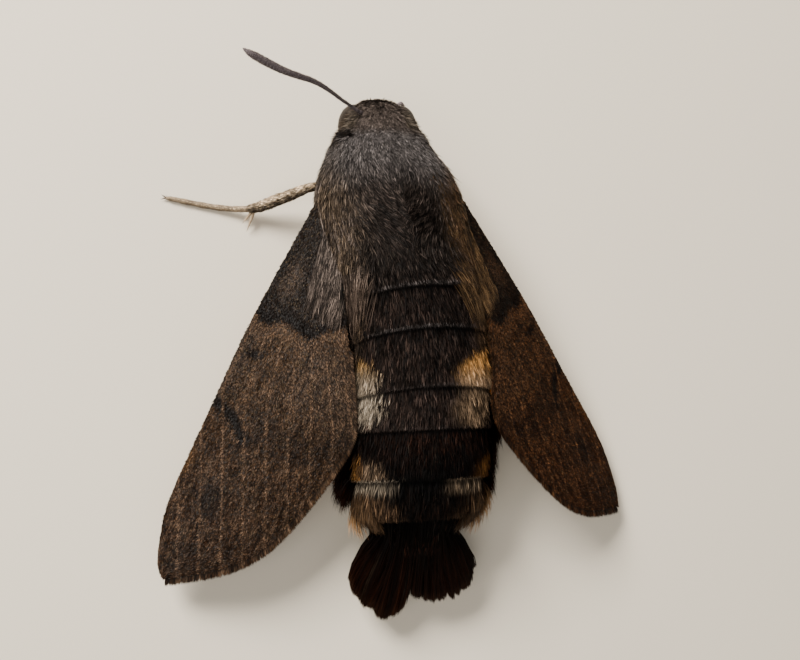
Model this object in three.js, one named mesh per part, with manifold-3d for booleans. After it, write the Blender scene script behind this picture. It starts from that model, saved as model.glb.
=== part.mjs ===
// Hummingbird hawk moth at rest, life size, in millimetres.
// +Z is up, the head points to -Y, the moth's left side is +X, and the feet stand on z = 0.
import * as THREE from 'three';
import { mergeVertices } from 'three/addons/utils/BufferGeometryUtils.js';
import Module from 'manifold-3d';

const wasm = await Module();
wasm.setup();

// ---- Driving dimensions ----------------------------------------------------------------
const PIECE_GAP = 0.07;          // clearance between neighbouring pieces
const SECTION_SIDES = 24;        // facets around a body section
const SEGMENT_FLARE = 0.07;      // how far a segment's rear edge stands over the next one

// Body, from the face to the end of the abdomen: station along Y, then centre x, centre z,
// half width, height above the centre, depth below it, and roll about Y in degrees.
const BODY_STATIONS = [
  [-0.38, 1.94, 4.08, 0.25, 0.35, 0.35, -4],
  [-0.28, 1.94, 4.10, 0.74, 0.78, 0.80, -4],
  [0.02, 1.93, 4.17, 1.22, 1.26, 1.22, -4],
  [0.45, 1.92, 4.28, 1.62, 1.60, 1.55, -4],
  [0.95, 1.91, 4.42, 1.94, 1.80, 1.75, -5],
  [1.45, 1.90, 4.54, 2.22, 2.00, 1.90, -5],
  [1.95, 1.88, 4.66, 2.62, 2.32, 2.15, -6],
  [2.70, 1.80, 4.80, 3.12, 2.80, 2.65, -7],
  [3.65, 1.66, 4.92, 3.64, 3.25, 3.05, -8],
  [5.00, 1.50, 5.00, 3.96, 3.58, 3.30, -8],
  [7.67, 0.80, 4.92, 3.98, 3.50, 3.30, -8],
  [10.36, -0.04, 4.62, 3.95, 3.22, 3.20, -8],
  [14.76, -0.62, 4.10, 4.02, 3.06, 3.05, -8],
  [17.55, -0.66, 3.80, 4.04, 2.95, 2.85, -8],
  [20.38, -0.62, 3.40, 3.86, 2.68, 2.55, -7],
  [22.60, -0.60, 2.95, 3.42, 2.25, 2.05, -5],
  [24.40, -0.60, 2.50, 2.75, 1.55, 1.45, -3],
];
const HEAD_FRONT = -0.38;
const HEAD_REAR = 1.75;
const COLLAR_REAR = 2.75;
const THORAX_REAR = 8.10;
const SHOULDER_FRONT = 3.6;
const SHOULDER_REAR = 10.2;
const ABDOMEN_EDGES = [8.10, 9.95, 12.05, 15.0, 17.25, 20.0, 22.3, 24.4];

// Eyes.
const EYE_RADIUS = 1.12;
const EYE_DEPTH = 0.84;          // half depth of the eye across the head
const EYE_SPREAD = 1.28;         // eye centre to the head's midline
const EYE_STATION = 0.92;
const EYE_DROP = 0.30;           // eye centre below the head's centre line

// Forewing: hinge, tip and the rounded rear corner fix each wing's plane in space.
const WING_THICKNESS = 0.52;
const WING_ROOT_SWELL = 0.40;    // extra thickness of the vein bundle at the hinge
const WING_CAMBER = 0.35;
const LEFT_HINGE = [5.05, 5.30, 5.10];
const LEFT_APEX = [13.58, 25.50, 1.55];
const LEFT_CORNER = [3.50, 17.40, 4.35];
const RIGHT_HINGE = [-2.15, 5.20, 6.10];
const RIGHT_APEX = [-14.10, 22.95, 0.62];
const RIGHT_CORNER = [-3.60, 17.16, 6.45];
const RIGHT_WING_WIDTH = 0.86;   // the inner strip of the right wing is tucked beside the body

// Outline of the forewing: distance from the hinge, then front edge and rear edge offsets
// from the straight line that joins hinge and tip.
const FOREWING_EDGES = [
  [0.0, -0.35, 1.30],
  [3.4, -0.66, 2.70],
  [6.7, -0.93, 4.25],
  [8.1, -1.00, 4.90],
  [10.3, -1.04, 6.15],
  [11.3, -1.05, 6.45],
  [12.3, -1.06, 6.38],
  [14.9, -1.11, 5.80],
  [16.9, -1.13, 5.28],
  [18.6, -1.05, 4.63],
  [20.0, -0.80, 3.60],
  [21.0, -0.56, 2.45],
  [21.7, -0.30, 1.45],
  [22.2, -0.05, 0.55],
];
const HINDWING_EDGES = [
  [1.8, 0.35, 1.80],
  [5.0, 0.40, 3.40],
  [8.0, 0.50, 4.80],
  [10.5, 0.75, 5.75],
  [12.2, 1.15, 5.60],
  [13.6, 1.80, 4.70],
  [14.3, 2.50, 3.60],
];
const HINDWING_DROP = 0.95;      // hindwing below the forewing, centre to centre

// Tail fan: flat brush of long scales in two lobes with a notch between them.
const FAN_ROOT = 23.95;
const FAN_HALF_THICKNESS = [0.95, 0.42];   // at the root and at the tip
const FAN_CENTRE_HEIGHT = [2.45, 1.55];
const FAN_RIM_SHARE = 0.45; // share of the thickness left at a lobe's outer edge
const FAN_ROUNDING = 0.96;
const FAN_BEVEL = 0.25; // how far the faces stop short of the outer edge

// Legs: hip, knee, ankle and toe of each leg; the foot is cut flat where it meets the floor.
const FEMUR_RADIUS = 0.36;
const TIBIA_RADIUS = 0.33;
const TARSUS_RADIUS = 0.28;
const FOOT_HEIGHT = 0.18;        // centre line of the foot over the floor
const LEGS = {
  fore_left: [[2.80, 2.90, 2.10], [3.60, 0.85, 1.80], [3.25, 2.45, 0.75], [2.90, -0.40, FOOT_HEIGHT]],
  fore_right: [[0.95, 3.00, 2.05], [0.50, 0.90, 1.65], [0.52, 2.50, 0.75], [0.90, -0.30, FOOT_HEIGHT]],
  mid_left: [[2.60, 4.60, 2.30], [5.00, 4.12, 2.40], [8.29, 5.23, 0.70], [13.00, 4.69, FOOT_HEIGHT]],
  mid_right: [[0.40, 4.90, 2.20], [-2.50, 5.60, 2.20], [-4.30, 9.00, 0.80], [-6.50, 12.60, FOOT_HEIGHT]],
  hind_left: [[2.30, 6.90, 2.10], [5.10, 8.10, 2.10], [6.30, 12.00, 0.80], [8.00, 16.00, FOOT_HEIGHT]],
  hind_right: [[-0.20, 7.10, 2.10], [-3.00, 9.20, 2.00], [-3.95, 13.40, 0.80], [-5.40, 17.20, FOOT_HEIGHT]],
};

// Feelers: club shaped, thickest near four fifths of their length, with a tapered hooked tip.
const ANTENNA_RADII = [[0, 0.26], [0.4, 0.25], [0.75, 0.28], [0.9, 0.26], [1, 0.12]];
const ANTENNA_LEFT = [[2.95, 0.52, 5.35], [4.10, 0.28, 6.50], [5.90, -0.22, 8.35],
  [7.80, -0.62, 9.80], [9.40, -1.18, 10.75], [9.78, -1.38, 10.85]];
const ANTENNA_RIGHT = [[1.00, 0.10, 5.00], [0.52, -0.42, 4.20], [0.02, -0.25, 3.00],
  [-0.34, 1.30, 2.42], [-1.25, 3.60, 2.72], [-2.30, 5.35, 3.35], [-2.62, 5.95, 3.55]];

// ---- Materials ------------------------------------------------------------------------
const FINISH = {
  grey_fur: { color: 0x3b3731, roughness: 0.9, metalness: 0 },
  face_fur: { color: 0x4a4038, roughness: 0.9, metalness: 0 },
  brown_fur: { color: 0x2e2822, roughness: 0.92, metalness: 0 },
  black_fur: { color: 0x14110f, roughness: 0.92, metalness: 0 },
  orange_fur: { color: 0x7a5a35, roughness: 0.9, metalness: 0 },
  pale_fur: { color: 0xb39a72, roughness: 0.9, metalness: 0 },
  eye: { color: 0x1a120d, roughness: 0.28, metalness: 0 },
  forewing: { color: 0x3f342b, roughness: 0.8, metalness: 0 },
  hindwing: { color: 0xb5651d, roughness: 0.8, metalness: 0 },
  leg: { color: 0x7b6a55, roughness: 0.75, metalness: 0 },
  antenna: { color: 0x2f2c2b, roughness: 0.7, metalness: 0 },
  tongue: { color: 0x241a12, roughness: 0.45, metalness: 0 },
};

// ---- Helpers --------------------------------------------------------------------------

/** Smooth curve through a short table of rows [station, value, value, ...]. */
function track(rows) {
  const slopes = rows.map((row, i) => {
    const before = rows[Math.max(i - 1, 0)];
    const after = rows[Math.min(i + 1, rows.length - 1)];
    return row.map((_, k) => (after[k] - before[k]) / (after[0] - before[0]));
  });
  return (station) => {
    let i = 0;
    while (i < rows.length - 2 && station > rows[i + 1][0]) {
      i += 1;
    }
    const span = rows[i + 1][0] - rows[i][0];
    const t = THREE.MathUtils.clamp((station - rows[i][0]) / span, 0, 1);
    const ease = t * t * (3 - 2 * t);
    const leave = t * (1 - t) * (1 - t) * span;
    const arrive = t * t * (t - 1) * span;
    return rows[i].slice(1).map((value, k) => value
      + (rows[i + 1][k + 1] - value) * ease
      + slopes[i][k + 1] * leave
      + slopes[i + 1][k + 1] * arrive);
  };
}

/** Six times the signed volume of a closed indexed geometry. */
function signedVolume(geometry) {
  const position = geometry.getAttribute('position');
  const index = geometry.getIndex();
  const corner = [new THREE.Vector3(), new THREE.Vector3(), new THREE.Vector3()];
  let total = 0;
  for (let i = 0; i < index.count; i += 3) {
    corner.forEach((vertex, k) => vertex.fromBufferAttribute(position, index.getX(i + k)));
    total += corner[0].dot(corner[1].cross(corner[2]));
  }
  return total;
}

/** Bend a geometry into place: each vertex goes through `place`, then the seams are welded. */
function mold(template, place) {
  const position = template.getAttribute('position').clone();
  const vertex = new THREE.Vector3();
  for (let i = 0; i < position.count; i += 1) {
    vertex.fromBufferAttribute(position, i);
    position.setXYZ(i, ...place(vertex.x, vertex.y, vertex.z));
  }
  const bare = new THREE.BufferGeometry();
  bare.setAttribute('position', position);
  bare.setIndex(template.getIndex().clone());
  const welded = mergeVertices(bare, 1e-5);
  if (signedVolume(welded) < 0) {
    const index = welded.getIndex();
    for (let i = 0; i < index.count; i += 3) {
      const first = index.getX(i);
      index.setX(i, index.getX(i + 1));
      index.setX(i + 1, first);
    }
  }
  return welded;
}

function toManifold(geometry) {
  return new wasm.Manifold(new wasm.Mesh({
    numProp: 3,
    vertProperties: new Float32Array(geometry.getAttribute('position').array),
    triVerts: new Uint32Array(geometry.getIndex().array),
  }));
}

function toGeometry(manifold) {
  const mesh = manifold.getMesh();
  const geometry = new THREE.BufferGeometry();
  geometry.setAttribute('position', new THREE.BufferAttribute(mesh.vertProperties.slice(), 3));
  geometry.setIndex(new THREE.BufferAttribute(mesh.triVerts.slice(), 1));
  return geometry;
}

/** Take the cutters away from a geometry and keep the largest body that is left. */
function carve(geometry, cutters, tolerance = 0.015) {
  const rest = cutters.reduce((body, cutter) => body.subtract(cutter), toManifold(geometry));
  const bodies = rest.simplify(tolerance).decompose();
  return toGeometry(bodies.sort((a, b) => b.volume() - a.volume())[0]);
}

/** Keep what stands above the floor, which gives a foot its flat sole. */
function standOnFloor(geometry) {
  return toGeometry(toManifold(geometry).trimByPlane([0, 0, 1], 0));
}

const moth = new THREE.Group();
moth.name = 'hawk_moth';

function addPiece(name, geometry, finish) {
  geometry.computeVertexNormals();
  const mesh = new THREE.Mesh(geometry, new THREE.MeshStandardMaterial(FINISH[finish]));
  mesh.name = name;
  moth.add(mesh);
}

// ---- Body -----------------------------------------------------------------------------
const bodyAt = track(BODY_STATIONS);

/** Point of the body: station, unit-disc coordinates of the section, and extra girth. */
function bodyPoint(station, across, upward, girth) {
  const [x, z, halfWidth, up, down, roll] = bodyAt(station);
  const side = across * (halfWidth + girth);
  const rise = upward * ((upward > 0 ? up : down) + girth);
  const angle = THREE.MathUtils.degToRad(roll);
  return [
    x + side * Math.cos(angle) - rise * Math.sin(angle),
    station,
    z + side * Math.sin(angle) + rise * Math.cos(angle),
  ];
}

/** A length of the body between two stations, with a rear edge that flares a little. */
function bodyLength(front, rear, rings, flare = 0, girth = 0) {
  const template = new THREE.CylinderGeometry(1, 1, 1, SECTION_SIDES, rings);
  return mold(template, (x, y, z) => {
    const t = 0.5 - y;
    return bodyPoint(front + (rear - front) * t, x, z, girth + flare * t * t);
  });
}

/** Rounded front of the head: the stations crowd together towards the face. */
function headLength(girth) {
  const template = new THREE.CylinderGeometry(1, 1, 1, SECTION_SIDES, 6);
  return mold(template, (x, y, z) => {
    const t = (0.5 - y) ** 1.9;
    return bodyPoint(HEAD_FRONT + (HEAD_REAR - PIECE_GAP - HEAD_FRONT) * t, x, z, girth);
  });
}

const grownBody = toManifold(bodyLength(HEAD_FRONT - 0.05, 24.5, 34, 0, 0.17));

const [headX, headZ] = bodyAt(EYE_STATION);
const headRoll = THREE.MathUtils.degToRad(-4);

/** Point beside the head: offset to the moth's left, station, and height over its centre. */
function headPoint(left, station, height) {
  return [
    headX + left * Math.cos(headRoll) - height * Math.sin(headRoll),
    station,
    headZ + left * Math.sin(headRoll) + height * Math.cos(headRoll),
  ];
}

function eyeBall(side, grow) {
  const centre = headPoint(side * EYE_SPREAD, EYE_STATION, -EYE_DROP);
  const ball = new THREE.SphereGeometry(1, 16, 10);
  const round = EYE_RADIUS + grow;
  const depth = EYE_DEPTH + grow;
  return mold(ball, (x, y, z) => [
    centre[0] + depth * y,
    centre[1] + round * x,
    centre[2] + round * z,
  ]);
}

const eyeSockets = [1, -1].map((side) => toManifold(eyeBall(side, PIECE_GAP)));
addPiece('eye_left', eyeBall(1, 0), 'eye');
addPiece('eye_right', eyeBall(-1, 0), 'eye');

addPiece('collar', carve(
  bodyLength(HEAD_REAR, COLLAR_REAR - PIECE_GAP, 2, SEGMENT_FLARE),
  eyeSockets,
), 'grey_fur');
addPiece('thorax', bodyLength(COLLAR_REAR, THORAX_REAR - PIECE_GAP, 7), 'grey_fur');
const ABDOMEN_FINISH = ['brown_fur', 'brown_fur', 'orange_fur', 'brown_fur', 'black_fur',
  'brown_fur', 'brown_fur'];
ABDOMEN_FINISH.forEach((finish, i) => {
  const segment = bodyLength(ABDOMEN_EDGES[i], ABDOMEN_EDGES[i + 1] - PIECE_GAP, 2, SEGMENT_FLARE);
  addPiece(`abdomen_${i + 1}`, segment, finish);
});

// ---- Limbs ----------------------------------------------------------------------------

/** Round-sectioned limb along a curve; `radius` is a function of the share of its length. */
function limb(curve, radius, sides, rings) {
  const template = new THREE.CylinderGeometry(1, 1, 1, sides, rings);
  const reference = new THREE.Vector3(0, 0, 1);
  return mold(template, (x, y, z) => {
    const t = 0.5 - y;
    const tangent = curve.getTangentAt(t);
    const across = new THREE.Vector3().crossVectors(tangent, reference).normalize();
    const upward = new THREE.Vector3().crossVectors(across, tangent);
    const point = curve.getPointAt(t);
    point.addScaledVector(across, x * radius(t)).addScaledVector(upward, z * radius(t));
    return point.toArray();
  });
}

function toVectors(points) {
  return points.map((point) => new THREE.Vector3(...point));
}

const legProfile = track([[0, 0.7], [0.12, 0.94], [0.4, 1], [0.85, 0.9], [1, 0.62]]);

/** Straight leg piece with rounded ends; it reaches a little past the joint at `to`. */
function legPiece(from, to, radius) {
  const [start, end] = toVectors([from, to]);
  const reach = end.clone().sub(start).setLength(radius * 0.3);
  const curve = new THREE.LineCurve3(start, end.add(reach));
  return limb(curve, (t) => radius * legProfile(t)[0], 8, 4);
}

/** Tarsus: comes down from the ankle and then lies along the floor. */
function foot(ankle, toe) {
  const [start, end] = toVectors([ankle, toe]);
  const heel = start.clone().lerp(end, 0.4).setZ(FOOT_HEIGHT + 0.05);
  const curve = new THREE.CatmullRomCurve3([start, heel, end]);
  return limb(curve, (t) => TARSUS_RADIUS * legProfile(t)[0], 8, 5);
}

Object.entries(LEGS).forEach(([name, [hip, knee, ankle, toe]]) => {
  const femur = legPiece(hip, knee, FEMUR_RADIUS);
  const tibia = legPiece(knee, ankle, TIBIA_RADIUS);
  const kneeSpace = toManifold(legPiece(hip, knee, FEMUR_RADIUS + PIECE_GAP));
  const ankleSpace = toManifold(legPiece(knee, ankle, TIBIA_RADIUS + PIECE_GAP));
  const tarsus = carve(foot(ankle, toe), [ankleSpace]);
  addPiece(`femur_${name}`, carve(femur, [grownBody]), 'leg');
  addPiece(`tibia_${name}`, carve(tibia, [kneeSpace]), 'leg');
  addPiece(`tarsus_${name}`, standOnFloor(tarsus), 'leg');
});

// ---- Feelers, palps and tongue ----------------------------------------------------------
const antennaRadius = track(ANTENNA_RADII);

function antenna(points, grow) {
  const curve = new THREE.CatmullRomCurve3(toVectors(points));
  return limb(curve, (t) => antennaRadius(t)[0] + grow, 8, 14);
}

/** Blunt scaly palp that rises in front of the face beside the midline. */
function palp(side, grow) {
  const curve = new THREE.CatmullRomCurve3([
    new THREE.Vector3(...headPoint(side * 0.76, 1.15, -1.98)),
    new THREE.Vector3(...headPoint(side * 0.76, 0.50, -1.92)),
    new THREE.Vector3(...headPoint(side * 0.62, -0.12, -1.35)),
    new THREE.Vector3(...headPoint(side * 0.48, -0.36, -0.55)),
  ]);
  const profile = track([[0, 0.25], [0.25, 0.42], [0.65, 0.48], [0.9, 0.38], [1, 0.16]]);
  return limb(curve, (t) => profile(t)[0] + grow, 8, 6);
}

/** Coiled tongue: a tube wound in a flat spiral between the palps. */
function tongue(grow) {
  class Coil extends THREE.Curve {
    getPoint(t, target = new THREE.Vector3()) {
      const angle = 0.35 * Math.PI + t * 2.5 * Math.PI;
      const radius = 0.95 - 0.64 * t;
      const rise = radius * Math.sin(angle) - 2.88;
      return target.set(...headPoint(0, 0.92 - radius * Math.cos(angle), rise));
    }
  }
  const template = new THREE.CylinderGeometry(1, 1, 1, 7, 22);
  const coil = new Coil();
  return mold(template, (x, y, z) => {
    const t = 0.5 - y;
    const tangent = coil.getTangent(t);
    const across = new THREE.Vector3(1, 0, 0);
    const outward = new THREE.Vector3().crossVectors(across, tangent).normalize();
    const girth = (0.25 + grow) * (1 - 0.25 * t);
    const point = coil.getPoint(t);
    return point.addScaledVector(across, x * girth).addScaledVector(outward, z * girth).toArray();
  });
}

const palpSockets = [1, -1].map((side) => toManifold(palp(side, PIECE_GAP)));
const feelerSockets = [ANTENNA_LEFT, ANTENNA_RIGHT].map((points) => (
  toManifold(antenna(points, PIECE_GAP))));
const headSockets = [...eyeSockets, ...palpSockets, ...feelerSockets];
addPiece('head', carve(headLength(0), headSockets, 0.03), 'face_fur');
addPiece('antenna_left', carve(antenna(ANTENNA_LEFT, 0), [eyeSockets[0]]), 'antenna');
addPiece('antenna_right', carve(antenna(ANTENNA_RIGHT, 0), [eyeSockets[1], grownBody]), 'antenna');
addPiece('palp_left', carve(palp(1, 0), eyeSockets), 'face_fur');
addPiece('palp_right', carve(palp(-1, 0), eyeSockets), 'face_fur');
addPiece('tongue', carve(tongue(0), palpSockets), 'tongue');

// ---- Wings ----------------------------------------------------------------------------

/** Plane of a wing: maps distance along it, offset towards the rear edge and height. */
function wingPlane(hinge, apex, corner) {
  const [origin, tip, rear] = toVectors([hinge, apex, corner]);
  const along = tip.sub(origin).normalize();
  const toRear = rear.sub(origin);
  const across = toRear.clone().addScaledVector(along, -toRear.dot(along)).normalize();
  const normal = new THREE.Vector3().crossVectors(along, across);
  normal.multiplyScalar(Math.sign(normal.z));
  return (p, q, h) => origin.clone()
    .addScaledVector(along, p)
    .addScaledVector(across, q)
    .addScaledVector(normal, h)
    .toArray();
}

/** Slab in the outline given by `edges`, following the camber of the wing. */
function wingSlab(plane, edges, width, drop, thickness, columns, rows) {
  const edgesAt = track(edges);
  const start = edges[0][0];
  const length = edges[edges.length - 1][0] - start;
  const template = new THREE.BoxGeometry(1, 1, 1, columns, 1, rows);
  return mold(template, (x, y, z) => {
    const share = x + 0.5;
    const p = start + length * (share + 0.11 * Math.sin(Math.PI * share));
    const [front, rear] = edgesAt(p);
    const q = front + (rear * width - front) * (z + 0.5);
    const camber = WING_CAMBER * Math.sin(Math.PI * THREE.MathUtils.clamp(q / 7, 0, 1));
    const swell = WING_ROOT_SWELL * Math.exp(-p / 3) * Math.exp(-q * q / 3);
    return plane(p, q, y * (thickness + swell) + camber - drop);
  });
}

const WINGS = [
  ['left', 1, wingPlane(LEFT_HINGE, LEFT_APEX, LEFT_CORNER), 1],
  ['right', -1, wingPlane(RIGHT_HINGE, RIGHT_APEX, RIGHT_CORNER), RIGHT_WING_WIDTH],
];
const tuftCutters = {};
WINGS.forEach(([name, side, plane, width]) => {
  const fore = wingSlab(plane, FOREWING_EDGES, width, 0, WING_THICKNESS, 16, 4);
  const hind = wingSlab(plane, HINDWING_EDGES, width, HINDWING_DROP, WING_THICKNESS, 9, 3);
  const space = 2 * PIECE_GAP;
  tuftCutters[side] = [
    grownBody,
    toManifold(wingSlab(plane, FOREWING_EDGES, width, 0, WING_THICKNESS + space, 16, 4)),
    toManifold(wingSlab(plane, HINDWING_EDGES, width, HINDWING_DROP, WING_THICKNESS + space, 9, 3)),
  ];
  addPiece(`forewing_${name}`, carve(fore, [grownBody]), 'forewing');
  addPiece(`hindwing_${name}`, carve(hind, [grownBody]), 'hindwing');
});

// ---- Tail fan and side tufts --------------------------------------------------------------

/** Flat lobe of the tail fan between two edges given along Y as x offsets. */
function fanLobe(edges) {
  const edgesAt = track(edges);
  const start = edges[0][0];
  const length = edges[edges.length - 1][0] - start;
  const template = new THREE.BoxGeometry(1, 1, 1, 5, 2, 7);
  return mold(template, (x, y, z) => {
    const share = z + 0.5;
    const station = start + length * share;
    const [inner, outer] = edgesAt(station);
    const across = x + 0.5;
    const half = THREE.MathUtils.lerp(...FAN_HALF_THICKNESS, share);
    const edge = FAN_RIM_SHARE + (1 - FAN_RIM_SHARE) * Math.sqrt(1 - (across * FAN_ROUNDING) ** 3);
    const centre = THREE.MathUtils.lerp(...FAN_CENTRE_HEIGHT, share);
    const reach = across * (1 - FAN_BEVEL * Math.abs(2 * y) * across);
    return [THREE.MathUtils.lerp(inner, outer, reach), station, centre + 2 * y * half * edge];
  });
}

/** Pointed tuft of scales standing out from the side of the abdomen. */
function sideTuft(side, from, to, height, stand, grow) {
  const template = new THREE.SphereGeometry(1, 8, 8);
  return mold(template, (x, y, z) => {
    const share = (1 - y) / 2;
    const station = from - grow + (to - from + 2 * grow) * share;
    const [centreX, centreZ, halfWidth, , , roll] = bodyAt(station);
    const angle = THREE.MathUtils.degToRad(roll);
    const bow = stand * Math.sin(Math.PI * share ** 1.6);
    const reach = side * (halfWidth - 0.3 + bow + x * (0.45 + grow));
    const rise = height + z * (0.95 + grow) * (1 - 0.35 * share);
    return [
      centreX + reach * Math.cos(angle) - rise * Math.sin(angle),
      station,
      centreZ + reach * Math.sin(angle) + rise * Math.cos(angle),
    ];
  });
}

/** Long scales of the shoulder that sweep back over the base of the wing. */
function shoulderTuft(side, height, grow) {
  const template = new THREE.SphereGeometry(1, 8, 8);
  return mold(template, (x, y, z) => {
    const share = (1 - y) / 2;
    const station = SHOULDER_FRONT - grow + (SHOULDER_REAR - SHOULDER_FRONT + 2 * grow) * share;
    const girth = (0.34 + grow) * x + 0.12 + 0.28 * share;
    const angle = side > 0 ? height + 0.22 * z : Math.PI - height - 0.22 * z;
    const [centreX, centreZ, halfWidth, up, , roll] = bodyAt(station);
    const lean = THREE.MathUtils.degToRad(roll);
    const reach = (halfWidth + girth) * Math.cos(angle);
    const rise = (up + girth) * Math.sin(angle);
    return [
      centreX + reach * Math.cos(lean) - rise * Math.sin(lean),
      station,
      centreZ + reach * Math.sin(lean) + rise * Math.cos(lean),
    ];
  });
}

[['left', 1, 0.42], ['right', -1, 0.36]].forEach(([name, side, height]) => {
  const tuft = carve(shoulderTuft(side, height, 0), tuftCutters[side]);
  addPiece(`shoulder_tuft_${name}`, tuft, 'grey_fur');
});

const TUFTS = [
  ['left_1', 1, 16.9, 19.9, 0.05, 0.55, 'black_fur'],
  ['left_2', 1, 19.3, 22.5, -0.05, 1.00, 'black_fur'],
  ['left_3', 1, 21.9, 24.6, -0.15, 1.20, 'pale_fur'],
  ['right_1', -1, 17.4, 20.1, -0.25, 0.50, 'black_fur'],
  ['right_2', -1, 19.5, 21.9, -0.15, 0.80, 'black_fur'],
  ['right_3', -1, 21.1, 24.3, -0.15, 1.25, 'pale_fur'],
];
TUFTS.forEach(([name, side, from, to, height, stand, finish]) => {
  const tuft = sideTuft(side, from, to, height, stand, 0);
  addPiece(`side_tuft_${name}`, carve(tuft, tuftCutters[side]), finish);
  tuftCutters[side].push(toManifold(sideTuft(side, from, to, height, stand, PIECE_GAP)));
});

addPiece('tail_fan_left', carve(fanLobe([
  [FAN_ROOT, -0.56, 1.95],
  [25.2, -0.52, 3.00],
  [26.6, -0.50, 3.02],
  [27.5, -0.44, 2.55],
  [28.1, -0.10, 1.80],
  [28.6, 0.45, 1.25],
]), tuftCutters[1]), 'black_fur');
addPiece('tail_fan_right', carve(fanLobe([
  [FAN_ROOT, -0.64, -3.30],
  [25.2, -0.66, -4.22],
  [26.2, -0.66, -4.30],
  [27.0, -0.74, -4.02],
  [27.5, -0.90, -3.50],
  [27.85, -1.50, -2.60],
]), tuftCutters[-1]), 'black_fur');

// ---- Seat the moth: feet on z = 0, middle of the outline over the origin --------------------
const bounds = new THREE.Box3().setFromObject(moth);
const middle = bounds.getCenter(new THREE.Vector3());
moth.children.forEach((mesh) => mesh.geometry.translate(-middle.x, -middle.y, -bounds.min.z));

export default moth;
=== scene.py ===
"""Hummingbird hawk moth at rest: skin, scaly coat, wings and stage built over the solid frame."""

import math

import bpy
import numpy as np
from bpy.props import FloatProperty, FloatVectorProperty, IntProperty, PointerProperty
from mathutils import Matrix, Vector
from mathutils.kdtree import KDTree


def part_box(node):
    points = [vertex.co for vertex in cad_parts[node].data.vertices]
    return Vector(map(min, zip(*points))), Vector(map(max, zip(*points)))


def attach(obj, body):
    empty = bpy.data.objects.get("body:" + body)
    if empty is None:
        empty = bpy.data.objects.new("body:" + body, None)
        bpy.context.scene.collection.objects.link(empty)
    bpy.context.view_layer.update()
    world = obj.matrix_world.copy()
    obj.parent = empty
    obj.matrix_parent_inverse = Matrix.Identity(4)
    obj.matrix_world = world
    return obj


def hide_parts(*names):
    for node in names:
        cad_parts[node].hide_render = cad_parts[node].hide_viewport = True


bl_info = {
    "name": "Hawk Moth",
    "version": (1, 0, 0),
    "blender": (4, 5, 0),
    "location": "View3D > Sidebar > Hawk Moth",
    "description": "Builds a life-size hummingbird hawk moth with its coat of scales",
    "category": "Add Mesh",
}

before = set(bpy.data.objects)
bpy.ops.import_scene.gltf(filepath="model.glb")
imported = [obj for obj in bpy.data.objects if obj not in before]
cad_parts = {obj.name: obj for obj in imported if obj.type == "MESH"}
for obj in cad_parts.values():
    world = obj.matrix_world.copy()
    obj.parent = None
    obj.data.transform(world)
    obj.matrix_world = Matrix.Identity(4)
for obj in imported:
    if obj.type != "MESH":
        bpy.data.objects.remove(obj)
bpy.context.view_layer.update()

MM = 0.001
BODY = "root"
MAP_MARGIN = 0.01  # left free along the edges of a coat's map
PATCH = 0.003  # side of one tuft's spot on its map

# ---- Measures of the moth, in millimetres, fitted to the solid frame ------------------------
# Station along the body, centre x, centre z, half width, height above, depth below, roll.
BODY_STATIONS = (
    (-0.38, 1.94, 4.08, 0.25, 0.35, 0.35, -4), (-0.28, 1.94, 4.10, 0.74, 0.78, 0.80, -4),
    (0.02, 1.93, 4.17, 1.22, 1.26, 1.22, -4), (0.45, 1.92, 4.28, 1.62, 1.60, 1.55, -4),
    (0.95, 1.91, 4.42, 1.94, 1.80, 1.75, -5), (1.45, 1.90, 4.54, 2.22, 2.00, 1.90, -5),
    (1.95, 1.88, 4.66, 2.62, 2.32, 2.15, -6), (2.70, 1.80, 4.80, 3.12, 2.80, 2.65, -7),
    (3.65, 1.66, 4.92, 3.64, 3.25, 3.05, -8), (5.00, 1.50, 5.00, 3.96, 3.58, 3.30, -8),
    (7.67, 0.80, 4.92, 3.98, 3.50, 3.30, -8), (10.36, -0.04, 4.62, 3.95, 3.22, 3.20, -8),
    (14.76, -0.62, 4.10, 4.02, 3.06, 3.05, -8), (17.55, -0.66, 3.80, 4.04, 2.95, 2.85, -8),
    (20.38, -0.62, 3.40, 3.86, 2.68, 2.55, -7), (21.90, -0.60, 3.08, 3.52, 2.36, 2.16, -5),
    (22.80, -0.60, 2.86, 2.86, 2.00, 1.84, -4), (23.50, -0.60, 2.70, 2.36, 1.72, 1.60, -4),
    (24.40, -0.60, 2.50, 2.05, 1.40, 1.30, -3),
)
HEAD_FRONT = -0.38
BODY_REAR = 24.40
SEGMENT_EDGES = (7.75, 9.45, 11.65, 14.80, 17.10, 19.90, 22.30, 24.6)
SEGMENT_STEP = 0.14  # how far each ring's rear edge stands over the next ring
# How far the rings run back at the sides of the body: station and bow.
SEGMENT_BOW = ((9.0, 1.15), (15.0, 0.85), (17.5, 0.30))
BOW_CREST = -18.0  # angle at which the rings reach furthest forward
BOW_RISE = (6.5, 9.5)  # stations between which the bow sets in
# Station, depth of the coat over the skin.
COAT_DEPTH = (
    (-0.38, 0.07), (0.60, 0.13), (1.60, 0.17), (2.60, 0.28), (4.20, 0.40), (7.50, 0.38),
    (9.50, 0.26), (13.0, 0.24), (21.4, 0.24), (22.7, 0.44), (24.4, 0.24),
)

EYE_STATION, EYE_SPREAD, EYE_DROP = 0.92, 1.28, 0.30
EYE_RADIUS, EYE_DEPTH = 1.12, 0.84

SIDES = {"left": 1, "right": -1}
# Hinge, tip and rear corner of each forewing, and its width as a share of the left one's.
LEFT_WING = ((5.05, 5.30, 5.10), (13.58, 25.50, 1.55), (3.50, 17.40, 4.35), 1.0)
RIGHT_WING = ((-2.15, 5.20, 6.10), (-14.10, 22.95, 0.62), (-3.60, 17.16, 6.45), 0.86)
WINGS = {"left": LEFT_WING, "right": RIGHT_WING}
RIGHT_WING_LENGTH = 0.985  # share of the left one's
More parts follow.
